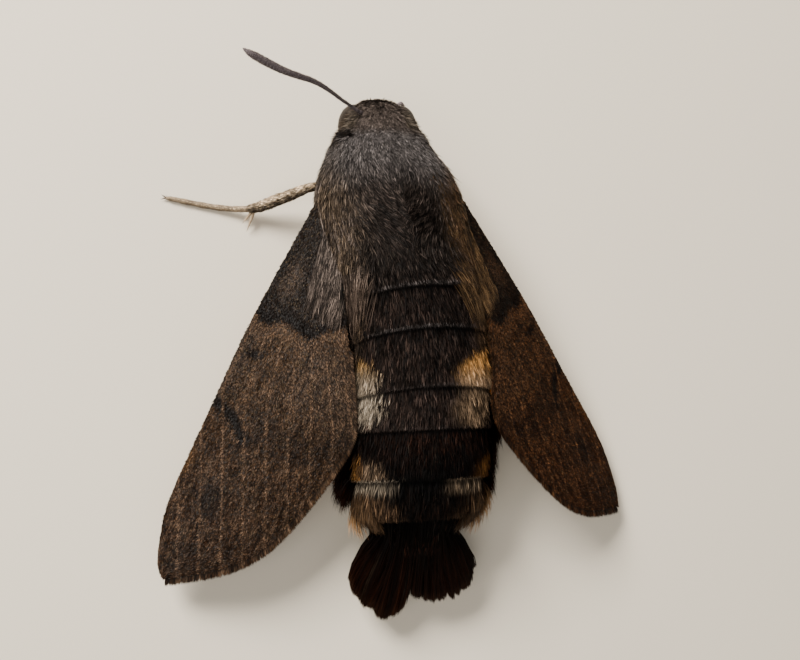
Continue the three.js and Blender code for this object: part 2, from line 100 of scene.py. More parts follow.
# How much of the right wing's rear edge the body hides, by distance from the hinge.
WING_TUCK = ((3.5, 0.0), (6.0, 0.75), (8.0, 0.70), (9.6, 0.0))
# Distance from the hinge, front edge and rear edge of the forewing.
FOREWING_EDGES = (
    (0.0, -0.35, 1.30), (3.4, -0.66, 2.70), (6.7, -0.93, 4.50), (8.1, -1.00, 5.25),
    (10.3, -1.04, 6.35), (11.3, -1.05, 6.52), (12.3, -1.06, 6.38), (14.9, -1.11, 5.80),
    (16.9, -1.13, 5.22), (18.5, -1.05, 4.50), (19.8, -0.80, 3.45), (20.7, -0.56, 2.35),
    (21.4, -0.30, 1.35), (21.85, 0.00, 0.66), (22.02, 0.26, 0.38),
)
HINDWING_EDGES = (
    (1.8, 0.35, 1.60), (5.0, 0.40, 3.00), (8.0, 0.50, 4.30), (10.5, 0.75, 5.10),
    (12.2, 1.15, 5.05), (13.6, 1.80, 4.40), (14.3, 2.50, 3.40),
)
FOREWING_TIP = FOREWING_EDGES[-1][0]
WING_MEMBRANE = 0.11  # thickness
WING_CAMBER = 0.35
VEIN_SPACING = 1.27
HINDWING_DROP = 0.95
HINDWING_MEMBRANE = 0.09
HINDWING_REACH = (2.8, HINDWING_EDGES[-1][0])  # from where it leaves the body to its tip
# Where the dark lines cross the forewing: offset across it, distance from the hinge.
INNER_LINE = ((-1.2, 6.1), (-0.5, 6.8), (0.0, 6.9), (0.5, 6.35), (1.4, 6.5), (2.2, 6.7),
              (2.9, 5.8), (3.5, 5.3), (4.5, 5.2))
OUTER_LINE = ((-1.2, 11.9), (-0.2, 12.2), (0.4, 12.45), (0.8, 12.9), (1.2, 13.25), (2.2, 13.1),
              (3.4, 13.5), (4.6, 13.1), (6.5, 12.0))

# Hip, knee, ankle and toe of each leg, and the heights at which heels and toes are laid.
HEEL_HEIGHT, TOE_HEIGHT = 0.225, 0.145
HAIR_CLEARANCE, CLAW_CLEARANCE = 0.025, 0.035  # lowest points of hair and claws over the floor
LEGS = {
    "fore_left": ((2.80, 2.90, 2.10), (3.10, 0.95, 1.80), (3.25, 2.45, 0.75), (2.90, -0.40, 0.18)),
    "fore_right": ((0.95, 3.00, 2.05), (0.50, 0.90, 1.65), (0.52, 2.50, 0.75), (0.90, -0.30, 0.18)),
    "mid_left": ((2.60, 4.60, 2.30), (5.00, 4.12, 2.40), (8.29, 5.23, 0.70), (13.00, 4.69, 0.18)),
    "mid_right": ((0.40, 4.90, 2.20), (-2.50, 5.60, 2.20), (-4.30, 9.00, 0.80),
                  (-6.50, 12.60, 0.18)),
    "hind_left": ((2.30, 6.90, 2.10), (5.10, 8.10, 2.10), (6.30, 12.00, 0.80), (8.00, 16.00, 0.18)),
    "hind_right": ((-0.20, 7.10, 2.10), (-3.00, 9.20, 2.00), (-3.95, 13.40, 0.80),
                   (-5.40, 17.20, 0.18)),
}
# Course of each feeler, from its base to its tip.
ANTENNAE = {
    "left": ((2.95, 0.52, 5.35), (4.10, 0.16, 6.50), (5.90, -0.40, 8.35), (7.84, -0.64, 9.80),
             (9.48, -1.14, 10.75), (9.88, -1.36, 10.85)),
    "right": ((1.10, 0.22, 4.80), (0.64, -0.34, 4.12), (0.24, -0.40, 3.30), (-0.06, 0.16, 2.74),
              (-0.44, 1.30, 2.50), (-1.25, 3.60, 2.72), (-2.30, 5.35, 3.35), (-2.62, 5.95, 3.55)),
}
# Rear outline of the tail fan: x offset across it, station of the scale tips.
FAN_OUTLINE = (
    (-4.28, 26.0), (-4.22, 26.5), (-3.95, 27.1), (-3.30, 27.62), (-2.35, 27.75), (-1.40, 27.80),
    (-0.80, 27.55), (-0.45, 27.25), (-0.20, 27.9), (0.20, 28.42), (0.72, 28.65), (1.20, 28.58),
    (1.80, 28.1), (2.50, 27.5), (2.92, 26.75), (3.05, 26.1),
)
FAN_MIDDLE, FAN_HALF_WIDTH = -0.62, 3.78
FAN_START, FAN_LENGTH = 24.0, 4.6
FAN_CLEFT = -0.45  # x offset of the gap between its two lobes

LONG_HAIR_CUTS = (0.0, 0.35, 0.7)  # where a long hair is bent, as shares of its length


# ---- Sizes and colours that a user may change -----------------------------------------------
def colour_setting(name, description, *default):
    return FloatVectorProperty(name=name, description=description, default=default,
                               subtype="COLOR", size=3)


def share_setting(name, description, least, most):
    return FloatProperty(name=name, description=description, default=1.0, min=least, max=most,
                         subtype="FACTOR")


def length_setting(name, description, millimetres):
    return FloatProperty(name=name, description=description, default=millimetres * MM,
                         unit="LENGTH")


class MothSizes(bpy.types.PropertyGroup):
    coat_scale: share_setting("Coat length", "Share of the natural length of the body's scales",
                              0.3, 1.5)
    coat_share: share_setting("Coat density", "Share of the tufts that are laid", 0.05, 1.0)
    membrane: length_setting("Wing membrane", "Thickness of the wing under its scales",
                             WING_MEMBRANE)
    scale_length: length_setting("Wing scale", "Length of one scale of the wing", 0.18)
    seed: IntProperty(name="Seed", description="Start of the random numbers", default=7)


class MothColours(bpy.types.PropertyGroup):
    thorax: colour_setting("Thorax", "Olive grey of the thorax", 0.0150, 0.0118, 0.0100)
    # Partly the collar's own grey, partly painted light and sky sheen on the front of the thorax,
    # which faces the light.
    collar: colour_setting("Collar", "Cool grey of the collar", 0.058, 0.052, 0.051)
    flank: colour_setting("Flank", "Tan brown of the long side hair", 0.050, 0.034, 0.022)
    abdomen: colour_setting("Abdomen", "Dark brown of the abdomen", 0.0046, 0.0030, 0.0024)
    black: colour_setting("Black", "Black of the band and tail fan", 0.0013, 0.0006, 0.0004)
    orange: colour_setting("Orange", "Orange of the side patches", 0.30, 0.130, 0.034)
    pale: colour_setting("Pale", "Buff white of the pale patches", 0.170, 0.140, 0.105)
    wing_brown: colour_setting("Wing brown", "Brown of the forewing", 0.0168, 0.0082, 0.0031)
    wing_grey: colour_setting("Wing grey", "Grey of the wing base", 0.0205, 0.0140, 0.0102)
    wing_dark: colour_setting("Wing dark", "Black brown of the wing lines", 0.0022, 0.0012, 0.0008)
    hindwing: colour_setting("Hindwing", "Orange of the hindwing", 0.52, 0.20, 0.035)
    leg: colour_setting("Legs", "Buff of the legs", 0.30, 0.225, 0.145)
    eye: colour_setting("Eyes", "Dark brown of the eyes", 0.011, 0.0065, 0.0045)


# ---- Curves and surfaces --------------------------------------------------------------------
def track(rows):
    """Smooth curve through rows of (place, value, value, ...), level before and after them."""
    table = np.array(rows, float)
    last = len(table) - 1
    slopes = np.array([
        (table[min(i + 1, last)] - table[max(i - 1, 0)])
        / (table[min(i + 1, last), 0] - table[max(i - 1, 0), 0])
        for i in range(last + 1)])

    def value(station):
        station = np.asarray(station, float)
        i = np.clip(np.searchsorted(table[:, 0], station) - 1, 0, last - 1)
        span = table[i + 1, 0] - table[i, 0]
        t = np.clip((station - table[i, 0]) / span, 0, 1)[..., None]
        span = span[..., None]
        start, end = table[i, 1:], table[i + 1, 1:]
        return (start + (end - start) * t * t * (3 - 2 * t)
                + slopes[i, 1:] * t * (1 - t) ** 2 * span
                + slopes[i + 1, 1:] * t * t * (t - 1) * span)
    return value


def unit(vectors):
    length = np.linalg.norm(vectors, axis=-1, keepdims=True)
    return vectors / np.maximum(length, 1e-9)


def smooth(low, high, value):
    t = np.clip((value - low) / (high - low), 0, 1)
    return t * t * (3 - 2 * t)


body_at = track(BODY_STATIONS)
coat_depth = track(COAT_DEPTH)


def head_point(left, station, height):
    """Point beside the head, before the moth is seated on its origin."""
    x, z = body_at(EYE_STATION)[:2]
    roll = math.radians(-4)
    return np.array([x + left * math.cos(roll) - height * math.sin(roll), station,
                     z + left * math.sin(roll) + height * math.cos(roll)])


EYE_CENTRES = {side: head_point(sign * EYE_SPREAD, EYE_STATION, -EYE_DROP)
               for side, sign in SIDES.items()}
eye_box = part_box("eye_left")
SEAT = np.array([(eye_box[0][i] + eye_box[1][i]) / 2 / MM for i in range(3)]) - EYE_CENTRES["left"]


def segment_station(station, angle):
    """Station measured along the rings of the abdomen, which bow back at the sides."""
    stations, bows = zip(*SEGMENT_BOW)
    bow = np.interp(station, stations, bows) * smooth(*BOW_RISE, station)
    return station - bow * (1 - np.cos(angle - math.radians(BOW_CREST)))


def segment_rise(station):
    """How far the skin stands up towards the rear edge of each ring of the abdomen."""
    rise = np.zeros_like(station)
    for front, rear in zip(SEGMENT_EDGES[:-1], SEGMENT_EDGES[1:]):
        inside = (station >= front) & (station < rear)
        share = np.maximum(station - front, 0) / (rear - front)
        rise = np.where(inside, SEGMENT_STEP * (share ** 1.4 - 0.6), rise)
    return rise


def body_surface(station, angle):
    """Skin of head, thorax and abdomen; the angle runs from the midline of the back to the left."""
    x, z, wide, up, down, roll = np.moveaxis(body_at(station), -1, 0)
    girth = segment_rise(segment_station(station, angle)) - coat_depth(station)[..., 0]
    side = np.sin(angle) * np.maximum(wide + girth, 0.05)
    rise = np.cos(angle)
    rise = rise * np.maximum(np.where(rise > 0, up, down) + girth, 0.05)
    lean = np.radians(roll)
    return np.stack([x + side * np.cos(lean) - rise * np.sin(lean), station + 0 * angle,
                     z + side * np.sin(lean) + rise * np.cos(lean)], -1)


def tube_surface(points, radius, flatten=1.0):
    """Surface round a smooth path: share of its length, then the angle round it."""
    points = np.array(points, float)
    steps = np.linalg.norm(np.diff(points, axis=0), axis=1)
    shares = np.concatenate([[0], np.cumsum(steps)]) / steps.sum()
    path = track(np.column_stack([shares, points]))
    radius_at = track(radius)

    def surface(share, angle):
        centre = path(share)
        along = unit(path(share + 0.01) - path(share - 0.01)
                     + 1e-6 * (points[-1] - points[0]))
        across = unit(np.cross(along, np.array([0.0, 0.0, 1.0])))
        upward = np.cross(across, along)
        girth = radius_at(share)
        return (centre + across * np.sin(angle)[..., None] * girth
                + upward * np.cos(angle)[..., None] * girth * flatten)
    return surface


def wing_plane(wing):
    """Hinge of a wing, and its directions to the tip, to the rear edge and upwards."""
    hinge, apex, corner = (np.array(point) for point in wing[:3])
    along = unit(apex - hinge)
    across = unit((corner - hinge) - along * ((corner - hinge) @ along))
    normal = np.cross(along, across)
    return hinge, along, across, normal * np.sign(normal[2])


def wing_surface(wing, edges=FOREWING_EDGES, drop=0, membrane=WING_MEMBRANE):
    """Lens-shaped sheet of a wing: distance from the hinge, then the way round its section."""
    hinge, along, across, normal = wing_plane(wing)
    width = wing[3]
    edges_at = track(edges)

    def chord(p):
        front, rear = np.moveaxis(edges_at(p), -1, 0)
        places, tucks = zip(*WING_TUCK)
        return front, rear * width - (width < 1) * np.interp(p, places, tucks)

    def offset(p, turn):
        front, rear = chord(p)
        return front + (rear - front) * (0.5 - 0.5 * np.cos(turn))

    stretch = 1.0 if width == 1 else RIGHT_WING_LENGTH

    def surface(p, turn):
        q = offset(p, turn)
        camber = WING_CAMBER * np.sin(np.pi * np.clip(q / 7, 0, 1))
        h = camber + 0.5 * membrane * np.sin(turn) + 0.06 - drop
        return (hinge + along * stretch * np.asarray(p)[..., None] + across * q[..., None]
                + normal * h[..., None])

    surface.chord = chord
    surface.offset = offset
    surface.facing = -np.sign(np.cross(along, across)[2])
    return surface


def surface_frame(surface, u, v, du=0.01, dv=0.01):
    """Points with the directions along u, along v and out of a surface."""
    point = surface(u, v)
    along = unit(surface(u + du, v) - surface(u - du, v))
    around = unit(surface(u, v + dv) - surface(u, v - dv))
    out = unit(np.cross(around, along)) * getattr(surface, "facing", 1)
    return point, along, around, out


# ---- Meshes ---------------------------------------------------------------------------------
def new_piece(name, points, faces, channels, material, replaced=(), uv=None):
    """Mesh object in the frame, from points in millimetres before seating."""
    mesh = bpy.data.meshes.new(name)
    faces = np.asarray(faces, np.int32)
    corners = faces.shape[1]
    mesh.vertices.add(len(points))
    mesh.vertices.foreach_set("co", ((np.asarray(points) + SEAT) * MM).astype(np.float32).ravel())
    mesh.loops.add(faces.size)
    mesh.loops.foreach_set("vertex_index", faces.ravel())
    mesh.polygons.add(len(faces))
    mesh.polygons.foreach_set("loop_start", np.arange(0, faces.size, corners, dtype=np.int32))
    mesh.update(calc_edges=True)
    mesh.polygons.foreach_set("use_smooth", np.ones(len(faces), bool))
    if uv is not None:
        layer = mesh.uv_layers.new(name="OFBake")
        layer.uv.foreach_set("vector", np.asarray(uv, np.float32)[faces.ravel()].ravel())
    for key, values in channels.items():
        attribute = mesh.attributes.new(key, "FLOAT", "POINT")
        attribute.data.foreach_set("value", np.asarray(values, np.float32))
    mesh.validate()
    mesh.materials.append(material)
    piece = bpy.data.objects.new(name, mesh)
    bpy.context.scene.collection.objects.link(piece)
    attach(piece, BODY)
    if replaced:
        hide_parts(*replaced)
    return piece


def skin_grid(surface, us, turns):
    """Closed skin over a surface whose second parameter runs once round; ends are capped."""
    u, v = np.meshgrid(us, np.linspace(-math.pi, math.pi, turns, endpoint=False), indexing="ij")
    rings = surface(u, v)
    rows = len(us)
    points = np.concatenate([rings.reshape(-1, 3), rings[:1].mean(1), rings[-1:].mean(1)])
    i, j = np.meshgrid(np.arange(rows - 1), np.arange(turns), indexing="ij")
    k = (j + 1) % turns
    a, b, c, d = i * turns + j, i * turns + k, (i + 1) * turns + k, (i + 1) * turns + j
    sides = np.concatenate([np.stack([a, d, c], -1).reshape(-1, 3),
                            np.stack([a, c, b], -1).reshape(-1, 3)])
    j = np.arange(turns)
    k = (j + 1) % turns
    first, last = rows * turns, rows * turns + 1
    caps = np.concatenate([np.stack([np.full(turns, first), j, k], -1),
                           np.stack([np.full(turns, last), (rows - 1) * turns + k,
                                     (rows - 1) * turns + j], -1)])
    faces = np.concatenate([sides, caps])
    centre = points[:-2].mean(0)
    corner = points[faces]
    out = np.cross(corner[:, 1] - corner[:, 0], corner[:, 2] - corner[:, 0])
    if (out * (corner[:, 0] - centre)).sum() < 0:
        faces = faces[:, ::-1]
    u = np.append(u.ravel(), [us[0], us[-1]])
    v = np.append(v.ravel(), [0, 0])
    return points, faces, u, v


def unrolled(u, v):
    """Each root's spot on the skin, rolled out flat over the whole map."""
    flat = np.stack([u, v], -1)
    low, high = flat.min(0), flat.max(0)
    return MAP_MARGIN + (1 - 2 * MAP_MARGIN) * (flat - low) / (high - low)


def skin_piece(name, surface, us, turns, channels, material, replaced=()):
    points, faces, u, v = skin_grid(surface, us, turns)
    values = {key: rule(u, v) for key, rule in channels.items()}
    return new_piece(name, points, faces, values, material, replaced)


def vanes(root, bend, tip, side, width, cuts=(0.0, 0.5), taper=0.6):
    """Pointed vanes along quadratic curves: points, triangles, and each point's place."""
    count = len(root)
    rows = []
    for t in cuts:
        centre = (1 - t) ** 2 * root + 2 * t * (1 - t) * bend + t * t * tip
        half = side * (0.5 * width * (1 - t) ** taper)[:, None]
        rows += [centre - half, centre + half]
    rows.append(tip)
    points = np.stack(rows, 1).reshape(-1, 3)
    size = 2 * len(cuts) + 1
    pattern = []
    for i in range(len(cuts) - 1):
        pattern += [(2 * i, 2 * i + 1, 2 * i + 3), (2 * i, 2 * i + 3, 2 * i + 2)]
    pattern.append((size - 3, size - 2, size - 1))
    faces = (np.arange(count)[:, None, None] * size + np.array(pattern)[None]).reshape(-1, 3)
    across = np.array([0, 1] * len(cuts) + [0.5])
    length = np.array([t for t in cuts for _ in (0, 1)] + [1.0])
    return points, faces, np.tile(across, count), np.tile(length, count)


def kites(root, bend, tip, side, width):
    """Scales of two triangles, widest half way: points, triangles, and each point's place."""
    count = len(root)
    middle = 0.25 * root + 0.5 * bend + 0.25 * tip
    half = side * (0.5 * width)[:, None]
    points = np.stack([root, middle - half, middle + half, tip], 1).reshape(-1, 3)
    pattern = np.array([(0, 2, 1), (1, 2, 3)])
    faces = (np.arange(count)[:, None, None] * 4 + pattern[None]).reshape(-1, 3)
    return points, faces, np.tile([0.5, 0.0, 1.0, 0.5], count), np.tile([0.0, 0.5, 0.5, 1.0], count)


LOCK_TONE = 0.38  # share of a tuft's shade that it takes from its lock


def coat_piece(name, root, bend, tip, side, width, place, channels, rng, material,
               cuts=None, taper=0.6, tone=None, replaced=()):
    """One joined mesh of tufts with roots at `place`, the skin's two parameters.

    A channel is one value for each tuft, or a pair of values at its root and its tip.
    """
    if cuts:
        points, faces, across, length = vanes(root, bend, tip, side, width, cuts, taper)
    else:
        points, faces, across, length = kites(root, bend, tip, side, width)
    size = len(points) // len(root)
    uv = np.repeat(unrolled(*place), size, 0) + PATCH * np.stack([across - 0.5, length - 0.5], -1)
    values = {}
    for key, value in channels.items():
        value = np.repeat(value, size, 0)
        if value.ndim == 2:
            value = value[:, 0] + (value[:, 1] - value[:, 0]) * length
        values[key] = value
    own = rng.random(len(root))
    if tone is not None:
        own = (1 - LOCK_TONE) * own + LOCK_TONE * tone
    values["tone"] = np.repeat(own, size)
    values["reach"] = length
    return new_piece(name, points, faces, values, material, replaced, uv)


def find_locks(rng, u, v, girth, count, stretch=0.3):
    """Gathers tufts into locks: the number of each tuft's lock and the angle of its middle."""
    tree = KDTree(count)
    chosen = rng.choice(len(u), count, replace=False)
    for number, index in enumerate(chosen):
        tree.insert((u[index] * stretch, v[index] * girth, 0), number)
    tree.balance()
    spots = np.stack([u * stretch, v * girth, 0 * u], -1).tolist()
    lock = np.array([tree.find(spot)[1] for spot in spots])
    return lock, v[chosen][lock]


def lock_values(rng, lock, kinds=1):
    """Random values that all tufts of a lock share, one row for each kind."""
    return rng.random((kinds, lock.max() + 1))[:, lock]


def comb(surface, u, v, rng, length, lift, lean, curl=0.35, roll=0.5):
    """Lays tufts on a surface: `lean` turns them in its plane and `lift` raises them."""
    point, along, around, normal = surface_frame(surface, u, v)
    heading = along * np.cos(lean)[:, None] + around * np.sin(lean)[:, None]
    flat, high = np.cos(lift)[:, None], np.sin(lift)[:, None]
    reach = length[:, None]
    bend = point + reach * 0.5 * (heading * flat + normal * high * (1 + curl))
    tip = point + reach * (heading * flat + normal * high * (1 - curl))
    tip = tip + rng.normal(0, 0.06, (len(u), 3)) * reach
    turn = rng.normal(0, roll, len(u))[:, None]
    side = unit(np.cross(heading, normal) * np.cos(turn) + normal * np.sin(turn))
    return point - normal * 0.02, bend, tip, side


def scatter(rng, surface, count, low, high, density=None):
    """Spreads roots evenly over an area of a surface, or by a density."""
    size = count * 4
    u = rng.uniform(low[0], high[0], size)
    v = rng.uniform(low[1], high[1], size)
    step = 0.01
    area = np.linalg.norm(np.cross(surface(u + step, v) - surface(u, v),
                                   surface(u, v + step) - surface(u, v)), axis=-1)
    weight = area * (density(u, v) if density else 1)
    picked = rng.choice(size, count, replace=False, p=weight / weight.sum())
    return u[picked], v[picked]


def lay_scales(name, surface, count, low, high, lengths, widths, lift, channels, rng, finish, slot,
               **turns):
    """Even coat of short scales over a plain piece; `lift` is its mean and spread in degrees."""
    count = tuft_count(count)
    u, v = scatter(rng, surface, count, low, high)
    reach = rng.uniform(*lengths, count)
    width = rng.uniform(*widths, count)
    raised = np.radians(rng.normal(*lift, count))
    root, bend, tip, side = comb(surface, u, v, rng, reach, raised, rng.normal(0, 0.2, count),
                                 **turns)
    values = {key: rule(u, v) for key, rule in channels.items()}
    coat_piece(name, root, bend, tip, side, width, (u, v), values, rng, material(finish))


def tuft_count(count):
    return int(count * bpy.context.scene.moth_sizes.coat_share)


def stream(offset):
    """Random numbers of one piece, so that a change to it leaves the others alone."""
    return np.random.default_rng(bpy.context.scene.moth_sizes.seed * 100 + offset)


# ---- Shader nodes ---------------------------------------------------------------------------
class Wiring:
    """Short ways to place and link the nodes of one tree."""

    def __init__(self, tree):
        self.tree = tree

    def node(self, kind, inputs=(), **settings):
        made = self.tree.nodes.new(kind)
        for key, value in settings.items():
            setattr(made, key, value)
        for key, value in dict(inputs).items():
            self.set(made.inputs[key], value)
        return made

    def set(self, socket, value):
        if isinstance(value, bpy.types.NodeSocket):
            self.tree.links.new(value, socket)
        else:
            socket.default_value = value

    def math(self, operation, *values):
        return self.node("ShaderNodeMath", enumerate(values), operation=operation).outputs[0]

    def plus(self, first, second):
        return self.math("ADD", first, second)

    def minus(self, first, second):
        return self.math("SUBTRACT", first, second)

    def times(self, first, second):
        return self.math("MULTIPLY", first, second)

    def mix(self, share, first, second, blend="MIX"):
        made = self.node("ShaderNodeMix", {0: share}, data_type="RGBA", blend_type=blend)
        self.set(made.inputs[6], first)
        self.set(made.inputs[7], second)
        return made.outputs[2]

    def channel(self, name):
        return self.node("ShaderNodeAttribute", attribute_name=name).outputs["Fac"]

    def grade(self, value, low, high, to_low=0.0, to_high=1.0):
        made = self.node("ShaderNodeMapRange", {0: value, 1: low, 2: high, 3: to_low, 4: to_high},
                         interpolation_type="SMOOTHSTEP")
        return made.outputs[0]

    def noise(self, vector, scale, detail=3.0, rough=0.5):
        made = self.node("ShaderNodeTexNoise",
                         {"Vector": vector, "Scale": scale, "Detail": detail, "Roughness": rough})
        return made.outputs["Fac"]

    def grain(self, scale, detail=4.0):
        """Noise in the object's own space."""
        return self.noise(self.node("ShaderNodeTexCoord").outputs["Object"], scale, detail, 0.6)

    def group(self, name, inputs=()):
        """Places a shader group, which is built the first time that it is asked for."""
        if name not in bpy.data.node_groups:
            GROUPS[name](name)
        made = self.node("ShaderNodeGroup", node_tree=bpy.data.node_groups[name])
        for key, value in dict(inputs).items():
            self.set(made.inputs[key], value)
        return made.outputs[0]

    def ramp(self, value, stops):
        made = self.node("ShaderNodeValToRGB", {0: value})
        elements = made.color_ramp.elements
        while len(elements) < len(stops):
            elements.new(1.0)
        for element, (position, colour) in zip(elements, stops):
            element.position = position
            element.color = colour
        return made.outputs[0]

    def place(self, u, v):
        return self.node("ShaderNodeCombineXYZ", {0: u, 1: v}).outputs[0]

    def patch(self, where, centre, size, soft=0.45):
        """Mask of an oval spot on the plane of two coordinates."""
        scaled = self.node("ShaderNodeVectorMath", {
            0: where, 1: (1 / size[0], 1 / size[1], 0),
            2: (-centre[0] / size[0], -centre[1] / size[1], 0)}, operation="MULTIPLY_ADD")
        length = self.node("ShaderNodeVectorMath", {0: scaled.outputs[0]}, operation="LENGTH")
        return self.grade(length.outputs["Value"], 1 + soft, 1 - soft)

    def box(self, value, low, high, soft):
        """Mask of a band between two values."""
        rising = self.grade(value, low - soft, low + soft)
        falling = self.grade(value, high + soft, high - soft)
        return self.times(rising, falling)


FLOAT, COLOUR = "NodeSocketFloat", "NodeSocketColor"


def new_group(name, inputs, result, kind=COLOUR):
    """Empty shader group: its wiring, its named inputs and the socket that takes its result."""
    tree = bpy.data.node_groups.new(name, "ShaderNodeTree")
    for key, default in inputs.items():
        socket = tree.interface.new_socket(
            key, in_out="INPUT", socket_type=COLOUR if isinstance(default, tuple) else FLOAT)
        socket.default_value = default
    tree.interface.new_socket(result, in_out="OUTPUT", socket_type=kind)
    w = Wiring(tree)
    return w, w.node("NodeGroupInput").outputs, w.node("NodeGroupOutput").inputs[result]


def tones():
    return bpy.context.scene.moth_colours


def shade(colour, scale=1.0, warm=1.0):
    """Lighter or darker shade of a colour; `warm` moves it from blue to red."""
    return (colour[0] * scale * warm, colour[1] * scale, colour[2] * scale / warm, 1)


def tint(colour, *shares):
    return (*(part * share for part, share in zip(colour, shares)), 1)


# Colours along the back: station, colour, share of it and warmth.
BACK_TONES = (
    # The light cool collar stops are partly the collar's grey, partly painted light and sky sheen
    # on the front of the thorax.
    (-0.4, "collar", 0.75, 1.14), (1.2, "collar", 0.66, 1.12), (1.7, "collar", 0.92, 1),
    (3.0, "collar", 0.64, 1), (4.4, "thorax", 0.95, 1), (6.4, "thorax", 0.62, 1),
    # The lighter stops at 9.95, 12.1 and 15.2, at the fronts of the rings, are partly pale scales
    # and partly a painted highlight.
    (8.0, "thorax", 0.55, 1), (9.7, "abdomen", 0.9, 1), (9.95, "abdomen", 1.25, 1),
    (11.8, "abdomen", 0.85, 1), (12.1, "abdomen", 1.35, 1), (14.7, "abdomen", 1.05, 1),
    (15.2, "abdomen", 1.75, 1), (16.8, "abdomen", 1.3, 1), (17.1, "black", 2.6, 1.1),
    (18.4, "black", 1.0, 1.1), (19.2, "black", 0.28, 1), (19.9, "black", 0.28, 1),
    (21.0, "abdomen", 0.28, 1.35), (22.2, "abdomen", 0.33, 1.3), (22.9, "black", 2.0, 1.25),
)
BACK_START, BACK_LENGTH = 1.0, 30.0  # how the stations of the body fit into a ramp
# Oval spots of the sides: station and angle of the middle, half sizes, softness, then the colour.
SIDE_SPOTS = (
    # The right-hand spots at 6.4 and 11.4 are warmer than the left ones: painted warm bounce light
    # on the moth's right.
    ((6.4, 82), (3.6, 38), 0.45, ("flank", 0.52, 0.95)),
    ((6.4, -82), (3.6, 34), 0.35, ("flank", 0.52, 1.25)),
    ((11.2, 84), (2.4, 24), 0.35, ("flank", 0.6)),
    ((11.4, -72), (2.0, 22), 0.35, ("flank", 0.8, 1.15)),
    ((14.0, -68), (1.30, 42), 0.18, "blaze"),
    ((14.2, 72), (0.95, 28), 0.28, "cream"),
    ((15.80, 60), (0.66, 20), 0.45, ("pale", 0.84)),
    ((15.75, -42), (0.85, 20), 0.45, ("pale", 0.31, 1.24)),
    ((16.8, -78), (1.75, 15), 0.20, ("black",)),
    ((18.0, 76), (1.15, 26), 0.20, ("black",)),
    ((19.3, 74), (0.75, 13), 0.50, ("orange", 0.16, 0.92)),
    ((19.2, 50), (0.55, 13), 0.60, ("flank", 0.60)),
    ((19.1, -66), (0.80, 18), 0.50, ("orange", 0.20)),
    ((21.4, 56), (1.15, 30), 0.50, ("flank", 0.38, 1.15)),
    ((21.4, -56), (1.05, 27), 0.50, ("flank", 0.26, 1.2)),
    ((20.4, 104), (2.0, 15), 0.20, ("black",)),
    ((19.8, -100), (2.0, 17), 0.20, ("black",)),
)


